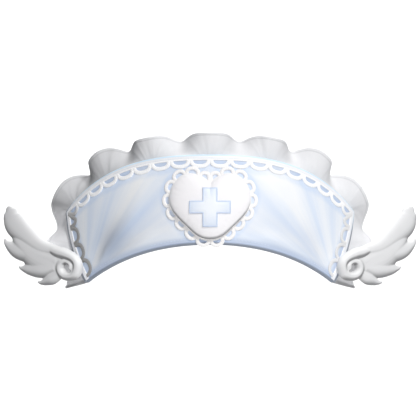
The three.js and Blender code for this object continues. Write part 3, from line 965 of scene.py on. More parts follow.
def roll_round(finish):
    """Length along a swept cord, and how far its surface faces out of the cloth and inward."""
    run = finish.add("ShaderNodeAttribute", {"attribute_name": "run"}, out="Fac")
    facing, inward, _ = finish.split(finish.attribute("round"))
    return run, facing * 2.0, inward * 2.0


def piping_satin(reach):
    finish = Finish("piping_satin")
    run, _, inward = roll_round(finish)
    place = finish.place()
    to_side = abs(run - reach)
    # Painted shade: at the sides the outer line of the piping turns dark, and the inner side of
    # the roll is greyed, more on the crown.
    side = finish.step(to_side, CROWN_REACH - 12 * MM, CROWN_REACH + 4 * MM)
    outer = finish.step(inward - side * 0.3, -0.3, -0.58)
    inner = finish.step(inward, 0.3, 0.95)
    line = finish.mix(side, colour("piping_edge"), colour("slate_shade"))
    base = finish.mix(outer, colour("piping_pale"), line)
    base = finish.mix(inner * (0.45 - side * 0.3), base, (0.42, 0.44, 0.48))
    mottle = finish.noise(place, 700.0, 2.0)
    base = finish.mix(mottle * 0.08, base, (0.5, 0.55, 0.62))
    twist = run + inward * (0.7 * MM)
    relief = finish.ripples(twist, 1.6 * MM) * (0.03 * MM) + mottle * (0.02 * MM)
    roughness = 0.34 + mottle * 0.1
    return finish.made(base, roughness, relief, {"Sheen Weight": 0.2})


def hem_satin():
    finish = Finish("hem_satin")
    run, facing, inward = roll_round(finish)
    place = finish.place()
    # Painted shade: the hem roll is dark blue-grey below and lighter on its lit top side.
    lit_upper = finish.step(inward, -0.35, 0.55)
    base = finish.mix(lit_upper, colour("slate_shade"), colour("blue_grey_shade"))
    mottle = finish.noise(place, 700.0, 2.0)
    base = finish.mix(mottle * 0.15, base, colour("slate_shade"))
    twist = run + facing * (0.5 * MM)
    relief = finish.ripples(twist, 1.9 * MM) * (0.03 * MM) + mottle * (0.02 * MM)
    roughness = 0.45 + mottle * 0.12
    return finish.made(base, roughness, relief, {"Sheen Weight": 0.15})


def lace_cotton(name, tone):
    """Plied cotton, the plies winding round the cord."""
    finish = Finish(name)
    run, facing, inward = roll_round(finish)
    wind = inward.apply("ARCTAN2", facing)
    ply = size("lace_ply")
    plies = finish.ripples(run + wind * (ply / math.pi), ply)
    place = finish.place()
    across, _, up = finish.split(place)
    fuzz = finish.noise(place, 2600.0, 3.0)
    shade = (1 - plies) * 0.10 + fuzz * 0.06
    base = finish.mix(shade, tone, (0.46, 0.46, 0.48))
    # Painted shade: the loops down the sides of the band are greyed, much more on the left,
    # where they turn from the light.
    side = finish.step(up, 27 * MM, 15 * MM) * finish.step(abs(across), 60 * MM, 70 * MM)
    tape = finish.add(
        "ShaderNodeVectorMath", {"operation": "LENGTH"}, {0: finish.attribute("spread")},
        out="Value",
    )
    side = side * finish.step(tape, 0.3, 0.1)
    side_lace_shade = side * (0.25 + finish.step(across, 20 * MM, -20 * MM) * 0.6)
    base = finish.mix(side_lace_shade, base, (0.2, 0.195, 0.19))
    relief = plies * (0.07 * MM) + fuzz * (0.02 * MM)
    return finish.made(base, 0.82 + fuzz * 0.1, relief, {"Sheen Weight": 0.2})


def thread_cotton(name, tone):
    finish = Finish(name)
    place = finish.place()
    fuzz = finish.noise(place, 5200.0, 2.0)
    base = finish.mix(fuzz * 0.2, tone, (0.3, 0.33, 0.4))
    return finish.made(base, 0.6 + fuzz * 0.2, fuzz * (0.02 * MM))


def frill_cloth():
    finish = Finish("frill_cloth")
    run, reach, flank_shade = finish.split(finish.attribute("pattern"))
    warp = finish.ripples(run, 0.5 * MM)
    weft = finish.ripples(reach, 0.5 * MM)
    place = finish.place()
    mottle = finish.noise(place, 260.0, 3.0)
    slub = finish.noise(finish.join(run * 900.0, reach * 90.0), 1.0, 2.0)
    seam = finish.bell(reach, RUFFLE_WIDTH - 1.7 * MM, 0.3 * MM)
    shade = mottle * 0.10 + slub * 0.08 + seam * 0.3 + (1 - warp * weft) * 0.05
    base = finish.mix(shade, colour("frill"), (0.42, 0.42, 0.44))
    across, _, up = finish.split(place)
    # Painted shade: the frill is darkened at the top of its left side, on each flute's outer
    # flank, in its pleats' hollows, and at its ends.
    left = finish.step(across, -30 * MM, -62 * MM) * finish.step(up, 16 * MM, 26 * MM)
    end = finish.step(abs(run), EDGE.reach - 5.5 * MM, EDGE.reach - 3 * MM)
    frill_shade = left * 0.26 + flank_shade * (0.16 + left * 0.2) + end * 0.6
    base = finish.mix(frill_shade, base, (0.12, 0.12, 0.125))
    relief = (warp + weft) * (0.02 * MM) + slub * (0.03 * MM) - seam * (0.12 * MM)
    return finish.made(base, 0.84 + mottle * 0.1, relief, {"Sheen Weight": 0.15})


def heart_cloth():
    finish = Finish("heart_cloth")
    place = finish.place()
    across, _, up = finish.split(place)
    warp = finish.ripples(across, 0.55 * MM)
    weft = finish.ripples(up, 0.55 * MM)
    nap = finish.noise(place, 1500.0, 4.0)
    soft = finish.noise(place, 90.0, 2.0)
    shade = nap * 0.10 + soft * 0.06 + (1 - warp * weft) * 0.03
    base = finish.mix(shade, colour("heart"), (0.5, 0.49, 0.51))
    # Painted shade: the bottom rim of the heart, where it turns from the light, is darkened; the
    # attribute named seam only locates it.
    share, above, out = finish.split(finish.attribute("seam"))
    seam = finish.step(share, 0.87, 0.97) * finish.step(above, 6 * MM, -6 * MM)
    seam = seam * finish.step(out, 6.5 * MM, 3.5 * MM)
    base = finish.mix(seam * 0.85, base, (0.11, 0.11, 0.12))
    relief = (warp + weft) * (0.015 * MM) + nap * (0.04 * MM) + soft * (0.35 * MM)
    constants = {"Sheen Weight": 0.35, "Sheen Roughness": 0.5}
    return finish.made(base, 0.72 + nap * 0.12, relief, constants)


def cross_satin():
    finish = Finish("cross_satin")
    across, level, border = finish.split(finish.attribute("pattern"))
    reach = abs(across).apply("MAXIMUM", abs(level))
    ends = finish.step(reach, 2.5 * MM, 11.5 * MM)
    base = finish.mix(ends * 0.45, colour("cross_pale"), colour("cross_blue"))
    rim = finish.step(border, 1.15 * MM, 0.75 * MM)
    base = finish.mix(rim * 0.6, base, colour("cross_blue"))
    place = finish.place()
    mottle = finish.noise(place, 1200.0, 2.0)
    base = finish.mix(mottle * 0.06, base, (0.4, 0.5, 0.7))
    weave = finish.ripples(across + level, 0.42 * MM)
    relief = weave * (0.015 * MM) + mottle * (0.03 * MM)
    return finish.made(base, 0.42 + mottle * 0.1, relief, {"Sheen Weight": 0.2})


def wing_foam():
    finish = Finish("wing_foam")
    place = finish.place()
    grain = finish.noise(place, 2200.0, 3.0, 0.6)
    soft = finish.noise(place, 120.0, 2.0)
    outer, curl_groove_shade, up = finish.split(finish.attribute("facing"))
    # Painted light and shade: edges facing up are lightened, bottom and outer edges darkened,
    # and a ring of shade round the curl.
    lit_upper = finish.step(up * 0.9 - outer * 0.25, 0.05, 0.75)
    bottom_edge_shade = finish.step(outer * 0.6 - up * 0.9, 0.0, 0.55)
    base = finish.mix(grain * 0.05 + soft * 0.05, colour("wing"), (0.5, 0.5, 0.52))
    base = finish.mix(lit_upper * 0.8, base, (0.96, 0.96, 0.96))
    base = finish.mix(bottom_edge_shade * 0.92, base, (0.22, 0.22, 0.225))
    base = finish.mix(curl_groove_shade * 0.75, base, (0.25, 0.25, 0.255))
    relief = grain * (0.02 * MM) + soft * (0.12 * MM)
    return finish.made(base, 0.46 + grain * 0.12, relief, {"Coat Roughness": 0.4})


def stage_paper():
    finish = Finish("stage_paper")
    place = finish.place()
    grain = finish.noise(place, 60.0, 3.0)
    base = finish.mix(grain * 0.02, colour("floor"), (0.8, 0.8, 0.8))
    return finish.made(base, 0.9, grain * (0.02 * MM))


# Band


BAND_COLUMNS = 341
BAND_ROWS = 101
FOLD_FANS = [(12, 0.8, 5), (30, 1.0, 6), (50, 0.8, 7)]
CREASES = 11


def band_spot(u, v):
    """A spot of the band's cloth, tucked halfway into its piping and its hem."""
    edge_inset = PIPING_DIAMETER / 2
    hem_inset = HEM_DIAMETER / 2
    side = np.sign(u)
    top = EDGE.pattern(u * CROWN_REACH, edge_inset)
    bottom = HEM.pattern(-u * (HEM.reach - edge_inset), hem_inset)
    spot = lerp(bottom, top, v[..., None])
    top_end = EDGE.pattern(side * CROWN_REACH, edge_inset)
    bottom_end = HEM.pattern(-side * (HEM.reach - edge_inset), hem_inset)
    straight = lerp(bottom_end, top_end, v[..., None])
    down = (1 - v) * (SIDE_REACH - hem_inset)
    curved = EDGE.pattern(side * (CROWN_REACH + down), edge_inset)
    return spot + (curved - straight) * (np.abs(u) ** 3)[..., None]


def fold_at(spot, u, v):
    """Drag folds and finer creases of the satin, none under the trim and the heart."""
    along, height = spot[..., 0], spot[..., 1]
    inward = FOOT_ALONG - np.abs(along)
    up = height + FOOT_DROP
    angle = np.degrees(np.arctan2(up, inward))
    reach = np.hypot(inward, up)
    trim_share = (LACE_CREST + BAND_THICKNESS) / (CROWN_HEIGHT + FOOT_DROP)
    heart_room = HEART_HALF_WIDTH + HEART_LACE_CREST + BAND_THICKNESS
    beyond = np.hypot(along, height - HEART_HEIGHT) - heart_room
    mask = (
        smoothstep(beyond, 0, HEART_RISE)
        * smoothstep(1 - trim_share - v, 0, trim_share)
        * smoothstep(v, 0, trim_share)
        * smoothstep(1 - trim_share - np.abs(u), 0, trim_share)
    )
    fold = sum(part * bell(angle, middle, spread) for middle, part, spread in FOLD_FANS)
    random = np.random.default_rng(size("seed"))
    crease = np.zeros_like(angle)
    for side in (-1, 1):
        on_side = side * along > 0
        for middle in np.linspace(14, 84, CREASES) + random.uniform(-3, 3, CREASES):
            width = random.uniform(2.2, 4.5)
            start, end = random.uniform(20, 35) * MM, random.uniform(60, 95) * MM
            window = smoothstep(reach, start * 0.4, start) * smoothstep(-reach, -end, -start)
            height_share = random.uniform(-1, 1)
            crease += on_side * height_share * window * bell(angle, middle, width)
    return mask * (size("fold_height") * fold + size("crease_height") * crease)


def make_band():
    u, v = np.meshgrid(np.linspace(-1, 1, BAND_COLUMNS), np.linspace(0, 1, BAND_ROWS))
    spot = band_spot(u, v)
    fold = fold_at(spot, u, v)
    half = BAND_THICKNESS / 2
    front = wrap(spot[..., 0], spot[..., 1], fold + half)
    back = wrap(spot[..., 0], spot[..., 1], fold - half)
    points, faces = walled(front, back)
    mesh = mesh_from("satin_band", points, faces)
    store_both(mesh, "pattern", spot[..., 0], spot[..., 1], spot[..., 1] - spot[0, :, 1])
    edges = (spot[-1:], spot[:, :1], spot[:, -1:])
    in_from_rim = np.min([np.linalg.norm(spot - edge, axis=-1) for edge in edges], axis=0)
    across, up = spot[..., 0], spot[..., 1] - HEART_HEIGHT
    beyond_heart = np.hypot(across, up) - heart_reach(np.arctan2(up, across))
    trim = [
        np.stack([in_from_rim, beyond_heart, np.full_like(u, inside)], -1).reshape(-1, 3)
        for inside in (0, 1)
    ]
    store(mesh, "trim", np.concatenate(trim))
    outward_faces(mesh)
    covered(new_object("satin_band", mesh), satin(), "satin", "band")


# Piping and hem


def side_trim(length):
    """How much wider the trim of the edge is than on the crown."""
    share = smoothstep(np.abs(length), CROWN_REACH - 4 * MM, CROWN_REACH + 6 * MM)
    return lerp(1, SIDE_TRIM, share)


def rail_path(rail, reach, inward, out):
    """A path along a rail, with its way out and its extra width."""
    length = np.linspace(-reach, reach, STRAND_STEPS)
    wide = side_trim(length) if rail is EDGE else np.ones(STRAND_STEPS)
    place = rail.place(length, inward * wide, out)
    way = unit(rail.place(length, inward * wide + MM, out) - place)
    return path_object([place], [rail.out(length)], spreads=[way * (wide - 1)[:, None]])


def make_rolls():
    tree = cord_tree()
    rolls = [
        ("edge_piping", EDGE, EDGE.reach - PIPING_END, PIPING_WIDTH, PIPING_THICKNESS,
         TRIM_LIFT, piping_satin(EDGE.reach), "pale_piping", "rim_piping"),
        ("slate_edge", HEM, HEM.reach - PIPING_DIAMETER, HEM_DIAMETER, HEM_DIAMETER,
         0.0, hem_satin(), "slate_hem", "bottom_hem"),
    ]
    for name, rail, reach, width, thickness, level, material, slot, node in rolls:
        path = rail_path(rail, reach, width / 2, level)
        dressed(sewn_cord(name, tree, path, width, thickness, material, 24), slot, node)


# Lace


def loop_spots(cord_share, start, crest, steps=26):
    """One loop of cord, as shares of its pitch across and as depths."""
    angle = np.linspace(math.pi, 0, steps)
    half = 0.5 - 0.32 * cord_share
    across = 0.5 + half * np.sign(np.cos(angle)) * np.abs(np.cos(angle)) ** 0.9
    depth = lerp(start, crest, np.sin(angle) ** 0.72)
    return across, depth


def trim_lengths():
    """Lengths along the edge at which the loops of the trim start and end."""
    crown = np.linspace(-CROWN_REACH, CROWN_REACH, CROWN_LOOPS + 1)
    side = np.linspace(CROWN_REACH, EDGE.reach - SIDE_LACE_MARGIN, SIDE_LOOPS + 1)[1:]
    return np.concatenate([-side[::-1], crown, side])


def make_trim_lace(tree):
    cord = size("lace_cord")
    posts = trim_lengths()
    header = LACE_HEADER_START + LACE_HEADER_WIDTH / 2
    level = BAND_THICKNESS / 2 + TRIM_LIFT
    strands, outs = [], []
    for start, end in zip(posts[:-1], posts[1:]):
        pitch = end - start
        across, depth = loop_spots(cord / pitch, header, LACE_CREST - cord / 2)
        length = start + across * pitch
        strands.append(EDGE.place(length, depth * side_trim(length), level))
        outs.append(EDGE.out(length))
    material = lace_cotton("white_lace", colour("lace_white"))
    path = path_object(strands, outs)
    loops = sewn_cord("trim_loops", tree, path, cord, LACE_THICKNESS, material)
    path = rail_path(EDGE, posts[-1], header, level)
    thin = LACE_THICKNESS * TAPE_SHARE
    tape = sewn_cord("trim_tape", tree, path, LACE_HEADER_WIDTH, thin, material)
    dressed(joined("edge_lace", [loops, tape]), "white_lace", "lace_trim")


def heart_lace_place(length, depth):
    """A place of the heart's lace, depth out from the heart's outline."""
    ease = HEART_LACE_CREST * 1.1
    ahead = heart_spot(length + ease) - heart_spot(length - ease)
    outside = unit(np.stack([-ahead[..., 1], ahead[..., 0]], -1))
    spot = heart_spot(length) + outside * np.asarray(depth)[..., None]
    middle = (LACE_BACK + LACE_FRONT) / 2
    return wrap(spot[..., 0], HEART_HEIGHT + spot[..., 1], middle), outward(spot[..., 0])


def make_heart_lace(tree):
    cord = size("heart_cord")
    pitch = HEART_LENGTH / HEART_LOOPS
    crest = HEART_LACE_CREST - cord / 2
    across, depth = loop_spots(cord / pitch, HEART_LOOP_START, crest)
    placed = [
        heart_lace_place((index + across) * pitch, depth) for index in range(HEART_LOOPS)
    ]
    material = lace_cotton("cream_lace", colour("lace_cream"))
    path = path_object([spot for spot, _ in placed], [out for _, out in placed])
    loops = sewn_cord("heart_loops", tree, path, cord, LACE_THICKNESS, material)
    length = np.linspace(0, HEART_LENGTH, 240, endpoint=False)
    header = (HEART_LACE_HEADER_END - HEART_LACE_TUCK) / 2
    strand, out = heart_lace_place(length, np.full_like(length, header))
    width = HEART_LACE_TUCK + HEART_LACE_HEADER_END
    path = path_object([strand], [out], True)
    tape = sewn_cord("heart_tape", tree, path, width, LACE_THICKNESS, material)
    dressed(joined("heart_lace_ring", [loops, tape]), "cream_lace", "heart_lace")


# Ruffle


RUFFLE_COLUMNS = 701
RUFFLE_ROWS = 41
LOBES = [0.0, 0.2325, 0.4525, 0.66, 0.85, 0.965]


def ruffle_lean(share):
    """Degrees back at a share of the way from the crown to a foot."""
    shares, leans = zip(*RUFFLE_FLUTES)
    index = np.clip(np.searchsorted(shares, share, side="left"), 1, len(shares) - 1)
    shares, leans = np.array(shares), np.array(leans, dtype=float)
    part = (share - shares[index - 1]) / (shares[index] - shares[index - 1])
    part = smoothstep(part, 0, 1)
    flute = lerp(leans[index - 1], leans[index], part)
    width = RUFFLE_HOLLOW_WIDTH / 2 / EDGE.reach
    lean = flute.copy()
    for middle, hollow in RUFFLE_HOLLOWS:
        narrow = RUFFLE_SIDE_NARROWING if middle > CROWN_REACH / EDGE.reach else 1.0
        lean += (hollow - flute) * bell(share, middle, width * narrow)
    return lean


def ruffle_spread(length):
    """How far the free edge of a flute is spread sideways."""
    share = np.abs(length) / EDGE.reach
    hollows = [row[0] for row in RUFFLE_HOLLOWS]
    ends = np.array([-hollows[0], *hollows, 1])
    index = np.clip(np.searchsorted(ends, share, side="right"), 1, len(ends) - 1)
    phase = (share - ends[index - 1]) / (ends[index] - ends[index - 1]) - 0.5
    tail = smoothstep(share, ends[-2], 1)
    fan = (1 - tail) * RUFFLE_FAN * np.sin(2 * math.pi * phase)
    return np.sign(length) * (fan - tail * RUFFLE_TAIL_LIFT)


def ruffle_flank_shade(share):
    """Where painted shade falls: the side of each flute that turns away from the crown, 0 to 1.
    """
    flank_shade = np.zeros_like(share)
    for middle, _ in RUFFLE_HOLLOWS:
        flank_shade = np.maximum(flank_shade, bell(share, middle - FLANK_SHIFT, FLANK_WIDTH))
    return flank_shade


def ruffle_pleats(length, beyond):
    """Fine pleats of each lobe, which run together towards the seam."""
    random = np.random.default_rng(size("seed") + 1)
    pleats = np.zeros_like(length)
    for side in (-1, 1):
        for index, lobe in enumerate(LOBES):
            before = LOBES[max(0, index - 1)]
            after = LOBES[min(len(LOBES) - 1, index + 1)]
            half = max(after - lobe, lobe - before) * EDGE.reach * 0.5
            offset = side * length - lobe * EDGE.reach
            fan = offset / (half * (0.4 + 0.6 * beyond))
            window = smoothstep(-np.abs(fan), -1.15, -0.75)
            middles = np.linspace(-0.8, 0.8, LOBE_PLEATS)
            for middle in middles + random.uniform(-0.1, 0.1, LOBE_PLEATS):
                height = random.uniform(0.35, 1.0) * random.choice([-1, 1])
                width = random.uniform(0.06, 0.13)
                on_side = 1.0 if lobe > 0 else 0.5
                pleats += on_side * window * height * bell(fan, middle, width)
    return pleats * beyond**0.5 * (1 - 0.45 * beyond)


def make_ruffle():
    middle = -(BAND_THICKNESS / 2 + CLEARANCE + RUFFLE_THICKNESS / 2)
    reach, length = np.meshgrid(
        np.linspace(-RUFFLE_TUCK, RUFFLE_WIDTH, RUFFLE_ROWS),
        np.linspace(-1, 1, RUFFLE_COLUMNS) * (EDGE.reach - RUFFLE_END),
        indexing="ij",
    )
    ends = smoothstep(np.abs(length), EDGE.reach - RUFFLE_END_EASE, EDGE.reach)
    reach = np.where(reach < 0, reach * (1 - RUFFLE_END_UNTUCK * ends), reach)
    beyond = np.maximum(0, reach)
    share = beyond / RUFFLE_WIDTH
    way = np.abs(length) / EDGE.reach
    wider = sum(part * bell(way, place, wide) for place, wide, part in RUFFLE_WIDER)
    beyond = beyond * (1 + wider)
    lean = np.radians(ruffle_lean(way))
    tilt = np.where(reach > 0, lean, 0)
    spread = length + share * ruffle_spread(length)
    inward = np.where(reach > 0, -beyond * np.cos(lean), -reach)
    out = middle - beyond * np.sin(lean)
    pleats = ruffle_pleats(length, share)
    lift = size("pleat_height") * pleats
    hem_roll = bell(reach, RUFFLE_WIDTH - RUFFLE_ROLL, RUFFLE_ROLL)
    half = RUFFLE_THICKNESS * (0.34 + 0.16 * hem_roll)

    def side(sign):
        shift = lift + sign * half
        return EDGE.place(spread, inward - shift * np.sin(tilt), out + shift * np.cos(tilt))

    front, back = side(1), side(-1)
    points, faces = walled(front, back)
    mesh = mesh_from("gathered_frill", points, faces)
    # Painted shade for the frill: each flute's outer flank near the seam, and the pleats'
    # hollows.
    flank_shade = smoothstep(reach, 0, 4 * MM) * ruffle_flank_shade(way) + 0.8 * np.clip(-pleats, 0, 1)
    store_both(mesh, "pattern", length, reach, flank_shade)
    outward_faces(mesh)
    frill = new_object("gathered_frill", mesh)
    covered(frill, frill_cloth(), "frill_cloth", "ruffle")
    centre = (front + back) / 2
    free_edge = np.sum(np.linalg.norm(np.diff(centre[-1], axis=0), axis=1))
    width = RUFFLE_TUCK + float(np.mean(beyond[-1]))


# Heart


def heart_shell(shrink):
    """The heart as closed rings, a little smaller than it is when filled."""
    sides = HEART_SIDES
    outline = heart_spot(np.linspace(0, HEART_LENGTH, sides, endpoint=False))
    rings = [(share, rise * HEART_EDGE) for share, rise in HEART_PROFILE]
    rings += [(share, float(heart_rise(share))) for share in HEART_DOME]
    points = []
    for share, rise in rings:
        spot = outline * share * (1 - shrink / HEART_HALF_WIDTH)
        lowered = rise - shrink * rise / HEART_THICKNESS
        points.append(wrap(spot[:, 0], HEART_HEIGHT + spot[:, 1], HEART_BACK + lowered))
    faces = grid_faces(len(rings), sides, closed=True)
    faces.append(tuple(range(sides)))
    faces.append(tuple(range((len(rings) - 1) * sides, len(rings) * sides))[::-1])
    mesh = mesh_from("padded_heart", np.concatenate(points), faces)
    outward_faces(mesh)
    return new_object("padded_heart", mesh)


def places_of(mesh):
    places = np.empty(len(mesh.vertices) * 3, dtype=np.float32)
    mesh.vertices.foreach_get("co", places)
    return places.reshape(-1, 3).astype(float)


def filled(piece):
    """Swells the heart by cloth under pressure, each point by less than Heart Swell.

    Its back and the edge beside it stay where they are.
    """
    remesh = piece.modifiers.new("even cloth", "REMESH")
    remesh.mode = "VOXEL"
    remesh.voxel_size = HEART_CLOTH_GRAIN
    piece = evaluated(piece, "padded_heart")
    before = places_of(piece.data)
    cloth = piece.modifiers.new("filling", "CLOTH")
    cloth.settings.quality = 6
    cloth.settings.mass = 0.2
    cloth.settings.use_pressure = True
    cloth.settings.uniform_pressure_force = 4
    cloth.settings.effector_weights.gravity = 0
    scene = bpy.context.scene
    for step in range(1, FILLING_FRAMES + 1):
        scene.frame_set(step)
        bpy.context.view_layer.update()
    piece = evaluated(piece, "padded_heart")
    scene.frame_set(1)
    move = places_of(piece.data) - before
    length = np.linalg.norm(move, axis=1, keepdims=True)
    cap = size("heart_swell")
    capped = move / np.maximum(length, 1e-9) * cap * np.tanh(length / cap)
    _, _, out = unwrap(before)
    free = smoothstep(out - HEART_BACK, 0.3 * MM, 2.0 * MM)
    piece.data.vertices.foreach_set("co", (before + capped * free[:, None]).ravel())
    piece.data.update()
    return piece


def pucker(piece):
    """Small gathers of the cloth where it is drawn in to the seam."""
    random = np.random.default_rng(size("seed") + 2)
    before = places_of(piece.data)
    along, height, out = unwrap(before)
    up = height - HEART_HEIGHT
    angle = np.arctan2(up, along)
    share = heart_share(along, up)
    waves = sum(
        np.sin(count * angle + phase) / 3
        for count, phase in zip(PUCKER_COUNTS, random.uniform(0, 2 * math.pi, 3))
    )
    gathered = smoothstep(share, 0.62, 0.95) * smoothstep(out - HEART_BACK, 0.4 * MM, 2 * MM)
    move = outward(along) * (PUCKER_HEIGHT * waves * gathered)[:, None]
    piece.data.vertices.foreach_set("co", (before + move).ravel())
    piece.data.update()


def make_heart():
    heart = filled(heart_shell(size("heart_swell")))
    pucker(heart)
    subdivision = heart.modifiers.new("soft", "SUBSURF")
    subdivision.levels = subdivision.render_levels = 1
    heart = evaluated(heart, "padded_heart")
    along, height, out = unwrap(places_of(heart.data))
    up = height - HEART_HEIGHT
    # Locates the painted shade on the heart's bottom rim.
    store(heart.data, "seam", np.stack([heart_share(along, up), up, out - HEART_BACK], -1))
    covered(heart, heart_cloth(), "heart_cloth", "heart_badge")


# Cross


def cross_outline():
    """Corners of the cross, clockwise from the top left of the upright."""
    wide, high = CROSS_WIDTH / 2, CROSS_HEIGHT / 2
    arm, bar = CROSS_UPRIGHT_WIDTH / 2, CROSS_BAR_WIDTH / 2
    return np.array([
        (-arm, high), (arm, high), (arm, bar), (wide, bar), (wide, -bar), (arm, -bar),
        (arm, -high), (-arm, -high), (-arm, -bar), (-wide, -bar), (-wide, bar), (-arm, bar),
    ])


def cross_border(across, up):
    """Distance in from the outline of the cross."""
    corners = cross_outline()
    spot = np.stack([across, up], -1)
    nearest = np.full(across.shape, np.inf)
    for start, end in zip(corners, np.roll(corners, -1, axis=0)):
        way = end - start
        share = np.clip(((spot - start) @ way) / (way @ way), 0, 1)
        away = np.linalg.norm(spot - start - share[..., None] * way, axis=-1)
        nearest = np.minimum(nearest, away)
    return nearest


def cross_place(across, up, above):
    """A place over the heart, above the padding."""
    level = up - CROSS_DROP
    rise = heart_rise(heart_share(across, level))
    return wrap(across, HEART_HEIGHT + level, HEART_BACK + rise + above)


def cross_lines(half, arm):
    """Places of the grid's lines, with one at each edge of the arm."""
    inner = np.linspace(-arm, arm, int(2 * arm / CROSS_STEP) + 1)
    outer = np.linspace(arm, half, int((half - arm) / CROSS_STEP) + 1)[1:]
    return np.concatenate([-outer[::-1], inner, outer])


def make_cross():
    arm, bar = CROSS_UPRIGHT_WIDTH / 2, CROSS_BAR_WIDTH / 2
    xs = cross_lines(CROSS_WIDTH / 2, arm)
    ys = cross_lines(CROSS_HEIGHT / 2, bar)
    across, up = np.meshgrid(xs, ys)
    border = cross_border(across, up)
    rounded = np.sqrt(1 - (1 - np.minimum(border, CROSS_EASE) / CROSS_EASE) ** 2)
    quilt = CROSS_QUILT * smoothstep(border, 0.9 * MM, 2.4 * MM)
    top = cross_place(across, up, CROSS_THICKNESS * (0.4 + 0.5 * rounded) + quilt)
    sunk = cross_place(across, up, -CROSS_SUNK)
    columns = len(xs)
    in_upright, in_bar = (
        np.abs((lines[:-1] + lines[1:]) / 2) < half for lines, half in ((xs, arm), (ys, bar))
    )
    cells = [
        face for index, face in enumerate(grid_faces(len(ys), columns))
        if in_upright[index % (columns - 1)] or in_bar[index // (columns - 1)]
    ]
    count = len(xs) * len(ys)
    faces = cells + [tuple(count + corner for corner in face[::-1]) for face in cells]
    edges = {(face[i], face[(i + 1) % 4]) for face in cells for i in range(4)}
    faces += [
        (here, count + here, count + there, there)
        for here, there in edges if (there, here) not in edges
    ]
    points = np.concatenate([top.reshape(-1, 3), sunk.reshape(-1, 3)])
    mesh = mesh_from("cross_patch", points, faces)
    store_both(mesh, "pattern", across, up, border)
    work = bmesh.new()
    work.from_mesh(mesh)
    loose = [vertex for vertex in work.verts if not vertex.link_faces]
    bmesh.ops.delete(work, geom=loose, context="VERTS")
    work.to_mesh(mesh)
    work.free()
    outward_faces(mesh)
    covered(new_object("cross_patch", mesh), cross_satin(), "cross_satin", "heart_cross")


# Stitching


def make_stitching():
    tree = stitch_tree()
    thread = size("thread_width")
    seam = {
        "Gap": size("stitch_gap"), "Length": size("stitch_length"), "Width": thread,
        "Turn": 0.0, "Material": thread_cotton("blue_thread", tint(214, 226, 246)),
    }
    length = np.linspace(-1, 1, 400) * (HEM.reach - STITCH_MARGIN)
    inward = np.full_like(length, HEM_DIAMETER + STITCH_INSET)
    spot = HEM.pattern(length, inward)
    strand = wrap(spot[:, 0], spot[:, 1], BAND_THICKNESS / 2 + thread * 0.2)
    path = path_object([strand], [outward(spot[:, 0])])
    dressed(along_path("hem_stitches", tree, path, seam), "satin")
    corners = cross_outline() * (1 - BORDER_INSET / np.abs(cross_outline()))
    outline = []
    for start, end in zip(corners, np.roll(corners, -1, axis=0)):
        steps = max(2, int(np.linalg.norm(end - start) / BORDER_STEP))
        outline.append(lerp(start, end, np.linspace(0, 1, steps, endpoint=False)[:, None]))
    outline = np.concatenate(outline)
    strand = cross_place(outline[:, 0], outline[:, 1], CROSS_THICKNESS * 0.85)
    path = path_object([strand], [outward(outline[:, 0])], True)
    border = {
        "Gap": thread * 0.95, "Length": size("border_width"), "Width": thread,
        "Turn": BORDER_TURN, "Material": thread_cotton("border_thread", tint(216, 228, 247)),
    }
    dressed(along_path("cross_border", tree, path, border), "cross_satin")


# Wings


def smooth_rows(rows, between):
    """Rows of numbers with more between them, on a smooth curve through all."""
    rows = np.asarray(rows, dtype=float)
    padded = np.concatenate([2 * rows[:1] - rows[1:2], rows, 2 * rows[-1:] - rows[-2:-1]])
    result = []
    for index in range(1, len(padded) - 2):
        before, start, end, after = padded[index - 1 : index + 3]
        for part in np.linspace(0, 1, between, endpoint=False):
            result.append(0.5 * (
                2 * start + (end - before) * part
                + (2 * before - 5 * start + 4 * end - after) * part**2
                + (3 * start - before - 3 * end + after) * part**3
            ))
    return np.array([*result, rows[-1]])


def rib(stations, sides=28):
    """Rings along stations of x, z, width and thickness, as points and faces."""
    stations = np.asarray(stations)
    ahead = unit(np.gradient(stations[:, :2], axis=0))
    angle = np.linspace(0, 2 * math.pi, sides, endpoint=False)
    sideways = np.cos(angle) * stations[:, 2:3] / 2
    forward = np.sin(angle) * stations[:, 3:4] / 2
    points = np.stack([
        stations[:, 0:1] - ahead[:, 1:2] * sideways,
        -forward,
        stations[:, 1:2] + ahead[:, 0:1] * sideways,
    ], -1)
    faces = grid_faces(len(stations), sides, closed=True)
    last = (len(stations) - 1) * sides
    faces.append(tuple(range(sides)))
    faces.append(tuple(range(last, last + sides))[::-1])
    return points.reshape(-1, 3), faces


def wing_ribs():
    """The feathers whole, and the curl in short pieces, since its turns run into each other."""
    for feather in FEATHERS:
        rows = smooth_rows(feather, ROW_PARTS)
        rows[:, 2:] = np.maximum(rows[:, 2:], LEAST_SECTION)
        sizes = (WING_SPAN, WING_HEIGHT, WING_HEIGHT, FEATHER_THICKNESS)
        yield rib(rows * sizes)
    rows = smooth_rows(CURL, ROW_PARTS)
    turn = rows[:, 0] * 2 * math.pi
    reach = rows[:, 1] * CURL_RADIUS
    stations = np.stack([
        CURL_PLACE[0] - np.sin(turn) * reach / math.cos(WING_SWEEP),
        CURL_PLACE[1] + np.cos(turn) * reach,
        2 * rows[:, 2] * CURL_TUBE,
        (CURL_DEPTH + CURL_TUBE_DEPTH * rows[:, 2]) * FEATHER_THICKNESS,
    ], -1)
    for start in range(0, len(stations) - 1, CURL_RUN):
        yield rib(stations[start : start + CURL_RUN + 1])


